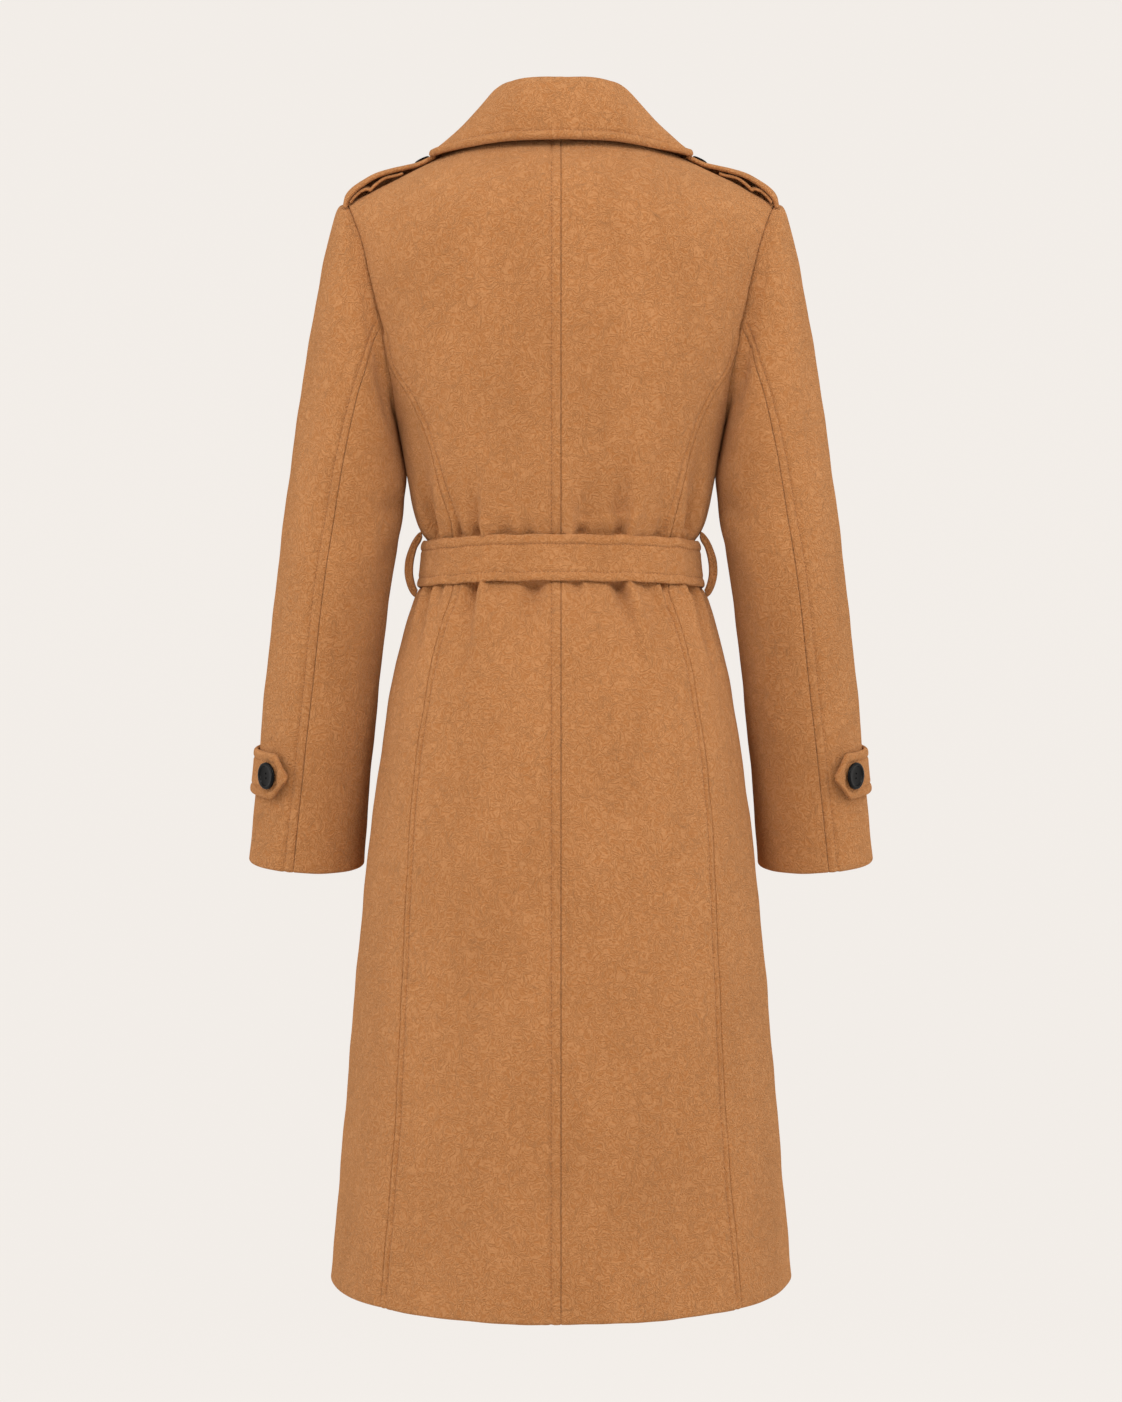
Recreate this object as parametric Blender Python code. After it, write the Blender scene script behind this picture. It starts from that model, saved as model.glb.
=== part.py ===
"""A belted wool trench coat, filled out as on a wearer and open at the neck, hem and cuffs.

Metres, +Z up. The coat's front faces -Y and its back +Y, and the wearer's left is +X. The origin is the middle
of the neck opening, level with the neck ends of the shoulder seams. Each piece of cloth is a wall worked out
from the tables below. A left piece is built on +X, and its right twin is the same piece mirrored.
"""

import math

import bmesh
import bpy
import numpy as np
from mathutils import Vector

# ---- driving dimensions ----

WALL = 0.0025  # thickness of the wool cloth
SEAM_GAP = 0.0003  # between two pieces sewn together
REST_GAP = 0.0006  # between two pieces that lie on each other
LAPEL_GAP = 0.0019  # beneath a lapel, whose mesh is coarser than the front's
BACK_SHOULDER_DROP = 0.130  # from the shoulder line down to where the back is at its full depth
FRONT_SHOULDER_DROP = 0.150
SHOULDER_POINT_X = 0.198
SHOULDER_POINT_Z = -0.0587
UNDERARM_Z = -0.262
BACK_SEAM_TOP_Z = -0.187  # where the curved back seam meets the armhole
LAPEL_BREAK_Z = -0.270  # where the fronts start to fold back
HEM_Z = -1.0640
HEM_RISE = 0.0115  # how much higher the hem is at the side seams
HEM_RISE_TOP_Z = -0.900  # the cloth above this isn't lifted with it
NECK_HALF_WIDTH = 0.075
NECK_BACK_Y = 0.058
SIDE_PANEL_WIDTH = 0.070  # about, on its narrow rows
SLEEVE_PANEL_WIDTH = 0.050
BELT_TOP_Z = -0.3700
BELT_BOTTOM_Z = -0.4125
BELT_THICKNESS = 0.0036
BELT_START = -89.5  # degrees round the body
BELT_TURN = 400.0  # so that its pointed end lies on its start
BELT_POINT = 9.0
BUTTON_RADIUS = 0.0135
SMALL_BUTTON_RADIUS = 0.0074
BUCKLE_HALF_WIDTH = 0.022
BUCKLE_HALF_HEIGHT = 0.0265
BUCKLE_BAR = 0.0050
BUCKLE_CORNER = 0.007
TUCK_DEPTH = 0.0036  # how far the left front passes beneath the right one
LAPEL_TUCK_DEPTH = 0.0044  # and beneath its own lapel as well
TUCK_LENGTH = 0.055
NECK_COLUMNS = 5  # of a back panel's mesh columns, those that end at the neckline
SHARP_ANGLE = math.radians(40)
SLOPE_STEP = 2e-5  # over which a surface's slope is measured
TINY = 1e-9
SIDES = ((1, "left"), (-1, "right"))
WOOL_COLOUR = (0.49, 0.245, 0.105, 1.0)
BUTTON_COLOUR = (0.012, 0.012, 0.014, 1.0)


def columns(names, rows):
    """A table's columns by name."""
    return dict(zip(names.split(), np.array(rows, float).T))


# One row for each height of the body. A roundness of 2 makes its section an ellipse, and more makes it fuller.
BODY = columns("z half_width back front roundness", (
    (0.030, 0.2150, 0.0960, 0.1000, 2.30),
    (-0.058, 0.2150, 0.1010, 0.1200, 2.30),
    (-0.094, 0.1985, 0.1030, 0.1270, 2.30),
    (-0.131, 0.1890, 0.1050, 0.1320, 2.30),
    (-0.167, 0.1815, 0.1060, 0.1350, 2.30),
    (-0.187, 0.1765, 0.1060, 0.1360, 2.30),
    (-0.220, 0.1675, 0.1050, 0.1350, 2.30),
    (-0.245, 0.1610, 0.1030, 0.1330, 2.30),
    (-0.262, 0.1570, 0.1010, 0.1310, 2.30),
    (-0.288, 0.1495, 0.0980, 0.1270, 2.30),
    (-0.316, 0.1430, 0.0950, 0.1210, 2.30),
    (-0.342, 0.1370, 0.0915, 0.1150, 2.30),
    (-0.3600, 0.1310, 0.0885, 0.1115, 2.30),
    (-0.3655, 0.1280, 0.0860, 0.1090, 2.30),
    (-0.3700, 0.1245, 0.0825, 0.1060, 2.30),
    (-0.3900, 0.1262, 0.0835, 0.1065, 2.30),
    (-0.4125, 0.1288, 0.0855, 0.1085, 2.30),
    (-0.4170, 0.1320, 0.0885, 0.1110, 2.30),
    (-0.435, 0.1395, 0.0965, 0.1170, 2.30),
    (-0.453, 0.1450, 0.1010, 0.1210, 2.30),
    (-0.490, 0.1540, 0.1090, 0.1260, 2.28),
    (-0.546, 0.1635, 0.1180, 0.1310, 2.25),
    (-0.620, 0.1740, 0.1270, 0.1370, 2.20),
    (-0.694, 0.1820, 0.1340, 0.1420, 2.16),
    (-0.805, 0.1920, 0.1440, 0.1490, 2.10),
    (-0.916, 0.2010, 0.1550, 0.1560, 2.05),
    (HEM_Z, 0.2135, 0.1710, 0.1680, 2.00),
))

# The top line of the shoulders, out from the middle.
RIDGE = columns("x z", (
    (0.000, 0.0120),
    (0.040, 0.0100),
    (0.075, 0.0000),
    (0.100, -0.0115),
    (0.150, -0.0356),
    (0.198, -0.0587),
    (0.220, -0.0690),
))

# The armhole's edge on the back and on the front.
ARMHOLE = columns("z back_x front_x", (
    (-0.0587, 0.1980, 0.1980),
    (-0.094, 0.1850, 0.1820),
    (-0.131, 0.1756, 0.1700),
    (-0.167, 0.1680, 0.1615),
    (-0.187, 0.1632, 0.1570),
    (-0.220, 0.1590, 0.1535),
    (-0.245, 0.1572, 0.1548),
    (-0.262, 0.1570, 0.1570),
))

# The curved seam between a back panel and its side panel.
BACK_SEAM = columns("z x", (
    (-0.187, 0.1632),
    (-0.212, 0.1575),
    (-0.244, 0.1386),
    (-0.286, 0.1217),
    (-0.325, 0.1105),
    (-0.370, 0.0992),
    (-0.392, 0.0965),
    (-0.418, 0.0985),
    (-0.451, 0.1086),
    (-0.490, 0.1184),
    (-0.532, 0.1254),
    (-0.567, 0.1305),
    (-0.615, 0.1355),
    (-0.696, 0.1395),
    (-0.916, 0.1490),
    (HEM_Z, 0.1610),
))

# Each front's free edge: straight up to the break, then the line along which its lapel folds back.
FRONT_EDGE = columns("z x", (
    (HEM_Z, -0.0800),
    (-0.330, -0.0800),
    (-0.270, -0.0780),
    (-0.200, -0.0380),
    (-0.130, 0.0020),
    (-0.060, 0.0450),
    (-0.036, 0.0590),
    (0.000, 0.0750),
))

# Soft folds, each a trough or a ridge running up or down from its start. Angles are in degrees round the body
# from the wearer's left side towards the back. A fold moves by its lean, in degrees, over its length.
FOLDS = columns("angle lean width start_z end_z height", (
    # gathered above the belt at the back
    (68, 3, 5.0, -0.3700, -0.300, -0.0035),
    (61, 4, 4.0, -0.3700, -0.330, 0.0020),
    (53, 6, 5.0, -0.3700, -0.290, -0.0042),
    (41, 8, 6.0, -0.3700, -0.270, -0.0050),
    (84, 1, 4.0, -0.3700, -0.330, -0.0020),
    (106, -1, 4.5, -0.3700, -0.318, -0.0030),
    (121, -4, 5.0, -0.3700, -0.285, -0.0042),
    (139, -8, 6.0, -0.3700, -0.272, -0.0050),
    # gathered below the belt at the back
    (41, 6, 5.5, -0.4125, -0.500, -0.0055),
    (48, 8, 5.0, -0.4125, -0.470, -0.0038),
    (58, 3, 5.0, -0.4125, -0.520, -0.0042),
    (76, -2, 7.5, -0.4125, -0.560, -0.0050),
    (96, 2, 5.0, -0.4125, -0.470, -0.0022),
    (110, 4, 6.0, -0.4125, -0.530, -0.0045),
    (124, -5, 5.0, -0.4125, -0.490, -0.0038),
    (134, -6, 6.0, -0.4125, -0.510, -0.0050),
    # the same on the sides and the front
    (18, 4, 7.0, -0.3700, -0.310, -0.0035),
    (-20, 3, 7.0, -0.3700, -0.300, -0.0040),
    (-40, 5, 6.0, -0.3700, -0.290, -0.0042),
    (-143, -5, 6.5, -0.3700, -0.285, -0.0042),
    (-160, -3, 6.5, -0.3700, -0.310, -0.0035),
    (162, -4, 7.0, -0.3700, -0.305, -0.0035),
    (15, 5, 8.0, -0.4125, -0.500, -0.0040),
    (-20, 3, 7.0, -0.4125, -0.520, -0.0045),
    (-38, 4, 6.5, -0.4125, -0.540, -0.0048),
    (-141, -4, 6.5, -0.4125, -0.500, -0.0042),
    (-159, -4, 7.5, -0.4125, -0.530, -0.0045),
    (165, -5, 8.0, -0.4125, -0.510, -0.0040),
    # long soft waves in the skirt
    (60, -3, 13.0, -0.780, -1.200, -0.0040),
    (78, -2, 12.0, -0.700, -1.200, 0.0030),
    (103, 2, 12.0, -0.760, -1.200, 0.0030),
    (121, 3, 13.0, -0.740, -1.200, -0.0040),
    (35, -3, 14.0, -0.720, -1.200, 0.0035),
    (146, 3, 14.0, -0.760, -1.200, 0.0035),
    (-40, 3, 14.0, -0.740, -1.200, -0.0040),
    (-17, 2, 13.0, -0.700, -1.200, 0.0030),
    (-163, -2, 13.0, -0.780, -1.200, 0.0035),
    (-139, -3, 14.0, -0.720, -1.200, -0.0035),
))

# Rings of the sleeve below the armhole. Each is given by its outermost and innermost points, the forward
# lean of its middle, its depth from the middle, and how far its back edge hangs below the middle.
SLEEVE = columns("outer_x outer_z inner_x inner_z middle_y half_depth back_drop", (
    (0.2065, -0.0635, 0.1568, -0.2680, 0.0000, 0.0530, 0.000),
    (0.2125, -0.0850, 0.1548, -0.2770, 0.0010, 0.0550, 0.000),
    (0.2210, -0.1200, 0.1502, -0.2910, 0.0020, 0.0570, 0.000),
    (0.2310, -0.1760, 0.1450, -0.3120, 0.0030, 0.0580, 0.000),
    (0.2430, -0.2500, 0.1440, -0.3380, 0.0030, 0.0580, 0.000),
    (0.2540, -0.3300, 0.1497, -0.3700, 0.0020, 0.0570, 0.001),
    (0.2640, -0.4100, 0.1582, -0.4150, -0.0030, 0.0550, 0.003),
    (0.2735, -0.4900, 0.1675, -0.4900, -0.0140, 0.0520, 0.005),
    (0.2825, -0.5750, 0.1765, -0.5750, -0.0280, 0.0490, 0.007),
    (0.2932, -0.6680, 0.1847, -0.6732, -0.0450, 0.0465, 0.009),
))
SLEEVE_BACK_SEAM = (105.2, 109, 106.5, 101, 94, 88, 85.5, 84.5, 84, 82, 80)  # degrees, one for each ring
SLEEVE_STEPS = (0, 0.35, 0.75, 1.3, 2, 3, 4, 5, 5.6, 6.2, 7, 8, 8.7, 9.4, 10)  # where the sleeve has mesh rows

# The collar from the middle of the back to its front end: its seam on the neck, its fold and its free edge.
# Its fall is full at the back and slightly hollow over the shoulders, as the bulge says.
COLLAR_COLUMNS = "base_x base_y base_z fold_x fold_y fold_z edge_x edge_y edge_z bulge"
COLLAR = columns(COLLAR_COLUMNS, (
    (0.0000, 0.0590, -0.0085, 0.0000, 0.0620, 0.0428, 0.0000, 0.0835, -0.0165, 0.0045),
    (0.0330, 0.0525, -0.0075, 0.0320, 0.0560, 0.0428, 0.0480, 0.0770, -0.0180, 0.0040),
    (0.0580, 0.0375, -0.0030, 0.0530, 0.0370, 0.0388, 0.0865, 0.0560, -0.0190, 0.0010),
    (0.0725, 0.0150, 0.0035, 0.0650, 0.0090, 0.0280, 0.1150, 0.0215, -0.0142, -0.0034),
    (0.0735, -0.0130, 0.0030, 0.0710, -0.0190, 0.0155, 0.1210, -0.0160, -0.0128, -0.0045),
    (0.0695, -0.0385, -0.0045, 0.0710, -0.0480, 0.0010, 0.1310, -0.0520, -0.0420, -0.0010),
    (0.0560, -0.0745, -0.0290, 0.0600, -0.0860, -0.0260, 0.1270, -0.0880, -0.0810, 0.0020),
))
COLLAR_THICKNESS = 0.0030

# The lapel's outline on the front panel, from the break up to the notch, and the roll line beside it.
LAPEL = columns("roll_z outer_x outer_z", (
    (-0.2640, -0.0720, -0.2640),
    (-0.2300, -0.0200, -0.2330),
    (-0.1900, 0.0420, -0.1910),
    (-0.1500, 0.0950, -0.1520),
    (-0.1100, 0.1330, -0.1160),
    (-0.0720, 0.1190, -0.0930),
    (-0.0400, 0.1010, -0.0730),
))

# The shoulder strap: a thick strip that arches over the shoulder line. Heights are above the cloth.
STRAP = columns("x height", (
    (0.1965, 0.0012),
    (0.1950, 0.0050),
    (0.1900, 0.0078),
    (0.1820, 0.0092),
    (0.1700, 0.0098),
    (0.1560, 0.0072),
    (0.1440, 0.0040),
    (0.1300, 0.0005),
    (0.1140, 0.0002),
))
STRAP_THICKNESS = 0.0042
STRAP_HALF_WIDTH = 0.021
STRAP_BUTTON_ROW = 10  # the strap's mesh row beneath its button
STRAP_BUTTON_LIFT = 0.0005

# The strap's lower ply hangs in waves between the strap and the shoulder.
LOWER_PLY = columns("x height", (
    (0.1925, 0.0006),
    (0.1895, 0.0026),
    (0.1840, 0.0042),
    (0.1790, 0.0034),
    (0.1750, 0.0006),
    (0.1700, 0.0026),
    (0.1625, 0.0042),
    (0.1560, 0.0028),
    (0.1500, 0.0010),
    (0.1450, 0.0002),
))
LOWER_PLY_THICKNESS = 0.0021
LOWER_PLY_HALF_WIDTH = 0.0195

# A belt loop's outer and inner faces, from its top end to its lower one.
BELT_LOOP = columns("outer_x outer_z inner_x inner_z", (
    (0.1316, -0.3650, 0.1290, -0.3662),
    (0.1352, -0.3725, 0.1306, -0.3752),
    (0.1393, -0.3792, 0.1338, -0.3820),
    (0.1430, -0.3870, 0.1364, -0.3885),
    (0.1446, -0.3960, 0.1379, -0.3965),
    (0.1444, -0.4030, 0.1378, -0.4030),
    (0.1424, -0.4125, 0.1356, -0.4095),
    (0.1392, -0.4185, 0.1332, -0.4152),
    (0.1368, -0.4225, 0.1344, -0.4212),
))
BELT_LOOP_HALF_WIDTH = 0.005

# The sleeve tab, in degrees round the sleeve from its front end to its point on the back.
TAB_START = -62.0
TAB_END = 76.0
TAB_RING = 9.08  # where its middle lies among the sleeve's rings
RING_SPACING = 0.0905  # between two of those rings
TAB_HALF_WIDTH = 0.0215
TAB_THICKNESS = 0.0040
TAB_POINT = 0.016
TAB_BUTTON = 55.0
BUTTON_LIFT = 0.0003  # between a button and the cloth that it is sewn to

FRONT_BUTTON_X = 0.055
FRONT_BUTTON_HEIGHTS = (-0.305, -0.485)

# Heights of the mesh rows below the armholes. The rows above them follow the armhole's edge.
LOWER_ROWS = (
    HEM_Z, -0.970, -0.870, -0.770, -0.685, -0.615, -0.565, -0.525, -0.492, -0.466, -0.446,
    -0.430, -0.4175, -0.4128, -0.3910, -0.3697, -0.3655, -0.3590, -0.345, -0.325, -0.300, -0.275,
)

WOOL = (WOOL_COLOUR, 0.9)
PLASTIC = (BUTTON_COLOUR, 0.2)


# ---- curves and surfaces ----


def through(at, values, x):
    """Values at x on a smooth curve through rows of values. It works on whole arrays."""
    order = np.argsort(at)
    at = np.asarray(at, float)[order]
    values = np.asarray(values, float)[order]
    x = np.clip(x, at[0], at[-1])
    upright = (-1,) + (1,) * (values.ndim - 1)
    step = np.diff(at)
    rise = np.diff(values, axis=0) / step.reshape(upright)
    before = step[:-1].reshape(upright)
    after = step[1:].reshape(upright)
    slope = np.empty_like(values)
    slope[0] = rise[0]
    slope[-1] = rise[-1]
    slope[1:-1] = (after * rise[:-1] + before * rise[1:]) / (before + after)
    k = np.clip(np.searchsorted(at, x, side="right") - 1, 0, len(at) - 2)
    width = step[k]
    t = (x - at[k]) / width
    if values.ndim > 1:
        t = t[..., None]
        width = width[..., None]
    return (
        (1 + 2 * t) * (1 - t) ** 2 * values[k]
        + t * (1 - t) ** 2 * width * slope[k]
        + t * t * (3 - 2 * t) * values[k + 1]
        - t * t * (1 - t) * width * slope[k + 1]
    )


def along(table, column, z):
    return through(table["z"], table[column], z)


def rows_through(table, names, count):
    """The named columns at a count of places spread evenly over a table's rows."""
    length = len(table[names[0]])
    values = np.stack([table[name] for name in names], axis=-1)
    return through(np.arange(length), values, np.linspace(0, length - 1, count))


def ridge_z(x):
    return through(RIDGE["x"], RIDGE["z"], np.abs(x))


def ease(t):
    t = np.clip(t, 0, 1)
    return t * t * (3 - 2 * t)


def unit(vectors):
    return vectors / np.linalg.norm(vectors, axis=-1, keepdims=True)


def reach(z, back):
    """How far the body's full section reaches from the middle plane, to the back or the front."""
    return np.where(back, along(BODY, "back", z), along(BODY, "front", z))


def shoulder_drop(back):
    return np.where(back, BACK_SHOULDER_DROP, FRONT_SHOULDER_DROP)


def below_ridge(x, z, back):
    """0 on the shoulder line, and 1 where the body has its full depth."""
    return (ridge_z(x) - z) / shoulder_drop(back)


def angle_at(x, z):
    """The angle, in radians, where the body's section at height z passes x. 0 is the side seam."""
    share = np.clip(x / along(BODY, "half_width", z), -1, 1)
    return np.arccos(np.sign(share) * np.abs(share) ** (along(BODY, "roundness", z) / 2))


def body_base(angle, z):
    """The body's surface without folds. Positive angles are the back, negative ones the front."""
    power = 2 / along(BODY, "roundness", z)
    x = along(BODY, "half_width", z) * np.sign(np.cos(angle)) * np.abs(np.cos(angle)) ** power
    back = angle >= 0
    t = np.clip(below_ridge(x, z, back), 0, 1)
    y = reach(z, back) * np.abs(np.sin(angle)) ** power * np.sqrt(t * (2 - t))
    y = np.where(back, 1, -1) * np.maximum(y, SEAM_GAP / 2)
    return np.stack([x, y, z + 0 * x], axis=-1)


def body_level(x, y, z, back, near_ridge):
    """A quantity that is 0 on the body's surface and grows outwards."""
    roundness = along(BODY, "roundness", z)
    share = np.abs(x / along(BODY, "half_width", z)) ** roundness
    full = reach(z, back)
    t = below_ridge(x, z, back)
    domed = (y / full) ** 2 - np.maximum(1 - share, 0) ** (2 / roundness) * t * (2 - t)
    upright = share + np.abs(y / full) ** roundness - 1
    return np.where(near_ridge, domed, upright)


def body_normal(point):
    """The direction straight out of the body's surface."""
    x, y, z = np.moveaxis(point, -1, 0)
    back = y >= 0
    near_ridge = below_ridge(x, z, back) < 1
    slopes = []
    for move in np.eye(3) * SLOPE_STEP:
        ahead = body_level(x + move[0], y + move[1], z + move[2], back, near_ridge)
        behind = body_level(x - move[0], y - move[1], z - move[2], back, near_ridge)
        slopes.append(ahead - behind)
    return unit(np.stack(slopes, axis=-1))


def folds(angle, z):
    """How far the folds move the cloth out at each place."""
    degrees = np.degrees(angle)
    total = np.zeros(np.broadcast(degrees, z).shape)
    for middle, lean, width, start_z, end_z, height in zip(*FOLDS.values()):
        run = (z - start_z) / (end_z - start_z)
        aside = (degrees - middle - lean * run + 180) % 360 - 180
        if end_z < HEM_Z:
            fade = ease(run * 1.6)
        else:
            fade = np.where((run > -0.02) & (run < 1), (1 - np.clip(run, 0, 1)) ** 1.6, 0)
        total += height * fade * np.exp(-((aside / width) ** 2))
    return total


def under_belt(z):
    """True between the belt's edges."""
    return (z < BELT_TOP_Z + REST_GAP) & (z > BELT_BOTTOM_Z - REST_GAP)


def body_surface(angle, z, lift=0.0):
    """Points and outward directions of the coat's outer face, moved out by lift."""
    rise = HEM_RISE * np.cos(angle) ** 4 * ease((z - HEM_RISE_TOP_Z) / (HEM_Z - HEM_RISE_TOP_Z))
    base = body_base(angle, z + rise)
    normal = body_normal(base)
    relief = np.where(under_belt(z + 0 * angle), 0, folds(angle, z))
    return base + normal * (relief + lift)[..., None], normal


def shoulder_fall(x, y):
    """How far the shoulder's cloth is below the shoulder line at a distance y from it."""
    z = ridge_z(x)
    back = y >= 0
    roundness = along(BODY, "roundness", z)
    full = reach(z, back) * (1 - (x / along(BODY, "half_width", z)) ** roundness) ** (1 / roundness)
    return shoulder_drop(back) * (1 - np.sqrt(1 - np.minimum(np.abs(y) / full, 1) ** 2))


def armhole_z(beta):
    middle = (SHOULDER_POINT_Z + UNDERARM_Z) / 2
    return middle + (SHOULDER_POINT_Z - middle) * np.cos(beta)


def armhole_beta(z):
    middle = (SHOULDER_POINT_Z + UNDERARM_Z) / 2
    return math.acos((z - middle) / (SHOULDER_POINT_Z - middle))


def armhole(beta):
    """The armhole's edge. Beta is 0 at the shoulder, 90 at the back and 180 degrees at the underarm."""
    z = armhole_z(beta)
    back = np.sin(beta) >= 0
    x = np.where(back, along(ARMHOLE, "back_x", z), along(ARMHOLE, "front_x", z))
    return body_surface(angle_at(x, z) * np.where(back, 1, -1), z)


# Places round the armhole where its pieces have a mesh point, so that the two sides of its seam match.
SEAM_TOP_BETA = armhole_beta(BACK_SEAM_TOP_Z)
BACK_BETAS = np.linspace(SEAM_TOP_BETA, 0, 10)
SIDE_BETAS = np.linspace(SEAM_TOP_BETA, math.pi, 6)
FRONT_BETAS = np.linspace(-math.pi, 0, 13)
SLEEVE_FRONT_SEAM = 3  # the sleeve's front seam starts at this one of the front places

# Heights of the rows along the curved seam from the last whole row up to the armhole.
SIDE_SEAM_HEIGHTS = np.linspace(LOWER_ROWS[-1], BACK_SEAM_TOP_Z, 6)[1:]


# ---- meshes ----


def material(name, colour, roughness):
    made = bpy.data.materials.new(name + "_look")
    made.use_nodes = True
    shader = made.node_tree.nodes["Principled BSDF"]
    shader.inputs["Base Color"].default_value = colour
    shader.inputs["Roughness"].default_value = roughness
    return made


def add_object(name, data, look):
    """An object of the coat, in its own look."""
    data.materials.append(material(name, *look))
    made = bpy.data.objects.new(name, data)
    made.parent = bpy.data.objects["trench_coat"]
    bpy.context.scene.collection.objects.link(made)
    return made


def smoothed(mesh):
    mesh.shade_smooth()
    mesh.set_sharp_from_angle(angle=SHARP_ANGLE)
    return mesh


def wall_faces(rows, across):
    """Faces of a wall whose outer points come first and inner points second, row by row."""
    inner = rows * across
    top = inner - across
    end = across - 1
    faces = []
    for a in range(0, top, across):
        for j in range(end):
            quad = [a + j, a + j + 1, a + across + j + 1, a + across + j]
            faces.append(quad)
            faces.append([inner + corner for corner in reversed(quad)])
        faces.append([a, a + across, inner + a + across, inner + a])
        faces.append([a + across + end, a + end, inner + a + end, inner + a + across + end])
    for j in range(end):
        faces.append([j + 1, j, inner + j, inner + j + 1])
        faces.append([top + j, top + j + 1, inner + top + j + 1, inner + top + j])
    return faces


def add_wall(name, outer, inner, mirrored=False):
    """A wall of wool between two grids of points. A mirrored one's faces are turned back to look out."""
    rows, across = outer.shape[:2]
    points = np.concatenate([outer.reshape(-1, 3), inner.reshape(-1, 3)])
    faces = wall_faces(rows, across)
    a, b, c, d = points[[0, 1, across, rows * across]]
    if (np.dot(np.cross(b - a, c - a), a - d) < 0) != mirrored:
        faces = [face[::-1] for face in faces]
    if mirrored:
        points = points * (-1, 1, 1)
    mesh = bpy.data.meshes.new(name)
    mesh.from_pydata(points.tolist(), [], faces)
    add_object(name, smoothed(mesh), WOOL)


def add_pair(stem, outer, inner):
    """The same wall for both sides of the coat."""
    add_wall(stem + "_left", outer, inner)
    add_wall(stem + "_right", outer, inner, mirrored=True)


def between(start, end, shares):
    return start[:, None] * (1 - shares) + end[:, None] * shares


# ---- the body ----


def back_neckline(share):
    """Places on the back neckline, from the middle (0) to the shoulder (1)."""
    turn = share * math.pi / 2
    x = NECK_HALF_WIDTH * np.sin(turn)
    return x, ridge_z(x) - shoulder_fall(x, NECK_BACK_Y * np.cos(turn))


def back_panel_grid(across):
    """Angles and heights of a back panel, from the middle seam out to the back seam and the armhole."""
    shares = np.linspace(0, 1, across)
    lower_z = np.concatenate([LOWER_ROWS, SIDE_SEAM_HEIGHTS])
    seam_x = along(BACK_SEAM, "x", lower_z) - SEAM_GAP / 2
    rows_x = [seam_x[:, None] * shares]
    rows_z = [lower_z[:, None] + 0 * rows_x[0]]
    neck_x, neck_z = back_neckline(np.linspace(0, 1, NECK_COLUMNS + 1))
    shoulder_x = np.linspace(NECK_HALF_WIDTH, SHOULDER_POINT_X, across - NECK_COLUMNS)[1:]
    top_x = np.concatenate([neck_x, shoulder_x])
    top_z = np.concatenate([neck_z, ridge_z(shoulder_x)])
    for beta in BACK_BETAS[1:]:
        edge_z = armhole_z(beta)
        rise = (edge_z - BACK_SEAM_TOP_Z) / (SHOULDER_POINT_Z - BACK_SEAM_TOP_Z)
        turn = beta / SEAM_TOP_BETA
        edge_x = along(ARMHOLE, "back_x", edge_z) - SEAM_GAP / 2
        rows_x.append(edge_x * (shares * turn + top_x / top_x[-1] * (1 - turn))[None])
        rows_z.append((BACK_SEAM_TOP_Z + (top_z - BACK_SEAM_TOP_Z) * rise)[None])
    x = np.maximum(np.concatenate(rows_x), SEAM_GAP / 2)
    z = np.concatenate(rows_z)
    return angle_at(x, z), z


def side_panel_grid(across):
    """Angles and heights of a side panel, from the back seam to the side seam under the arm."""
    gap = SEAM_GAP / 2 / SIDE_PANEL_WIDTH
    even = np.linspace(0, 1, across)
    lower_z = np.array(LOWER_ROWS)
    lower_seam = angle_at(along(BACK_SEAM, "x", lower_z), lower_z)
    rows_angle = [lower_seam[:, None] * (1 - gap) * (1 - even)]
    rows_z = [lower_z[:, None] + 0 * rows_angle[0]]
    top_z = armhole_z(SIDE_BETAS)
    top_angle = angle_at(along(ARMHOLE, "back_x", top_z), top_z)
    top_shares = 1 - top_angle / angle_at(along(BACK_SEAM, "x", top_z), top_z)
    for seam_z in SIDE_SEAM_HEIGHTS:
        rise = (seam_z - LOWER_ROWS[-1]) / (BACK_SEAM_TOP_Z - LOWER_ROWS[-1])
        z = LOWER_ROWS[-1] + (top_z - LOWER_ROWS[-1]) * rise
        shares = np.maximum(even * (1 - rise) + top_shares * rise, gap)
        rows_angle.append((angle_at(along(BACK_SEAM, "x", z), z) * (1 - shares))[None])
        rows_z.append(z[None])
    rows_z[-1] -= SEAM_GAP / 2
    return np.concatenate(rows_angle), np.concatenate(rows_z)


def front_panel_grid(across):
    """Angles and heights of a front panel, from its free edge to the side seam and the armhole."""
    shares = np.linspace(0, 1, across) ** 1.15
    lower_z = np.array(LOWER_ROWS)
    edge_angle = angle_at(along(FRONT_EDGE, "x", lower_z), lower_z)
    rows_angle = [edge_angle[:, None] * (1 - shares)]
    rows_z = [lower_z[:, None] + 0 * rows_angle[0]]
    top_z = ridge_z(NECK_HALF_WIDTH + (SHOULDER_POINT_X - NECK_HALF_WIDTH) * shares)
    for row, beta in enumerate(FRONT_BETAS):
        rise = 1 - (1 - (row + 1) / len(FRONT_BETAS)) ** 1.6
        armhole_row_z = armhole_z(beta)
        armhole_row_x = along(ARMHOLE, "front_x", armhole_row_z) - SEAM_GAP / 2
        edge_x = along(FRONT_EDGE, "x", LOWER_ROWS[-1] * (1 - rise))
        x = edge_x + (armhole_row_x - edge_x) * shares
        z = LOWER_ROWS[-1] + (top_z - LOWER_ROWS[-1]) * rise
        z = z + (armhole_row_z - z) * shares**3
        rows_angle.append(angle_at(x, z)[None])
        rows_z.append(z[None])
    return -np.maximum(np.concatenate(rows_angle), TINY), np.concatenate(rows_z)


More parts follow.
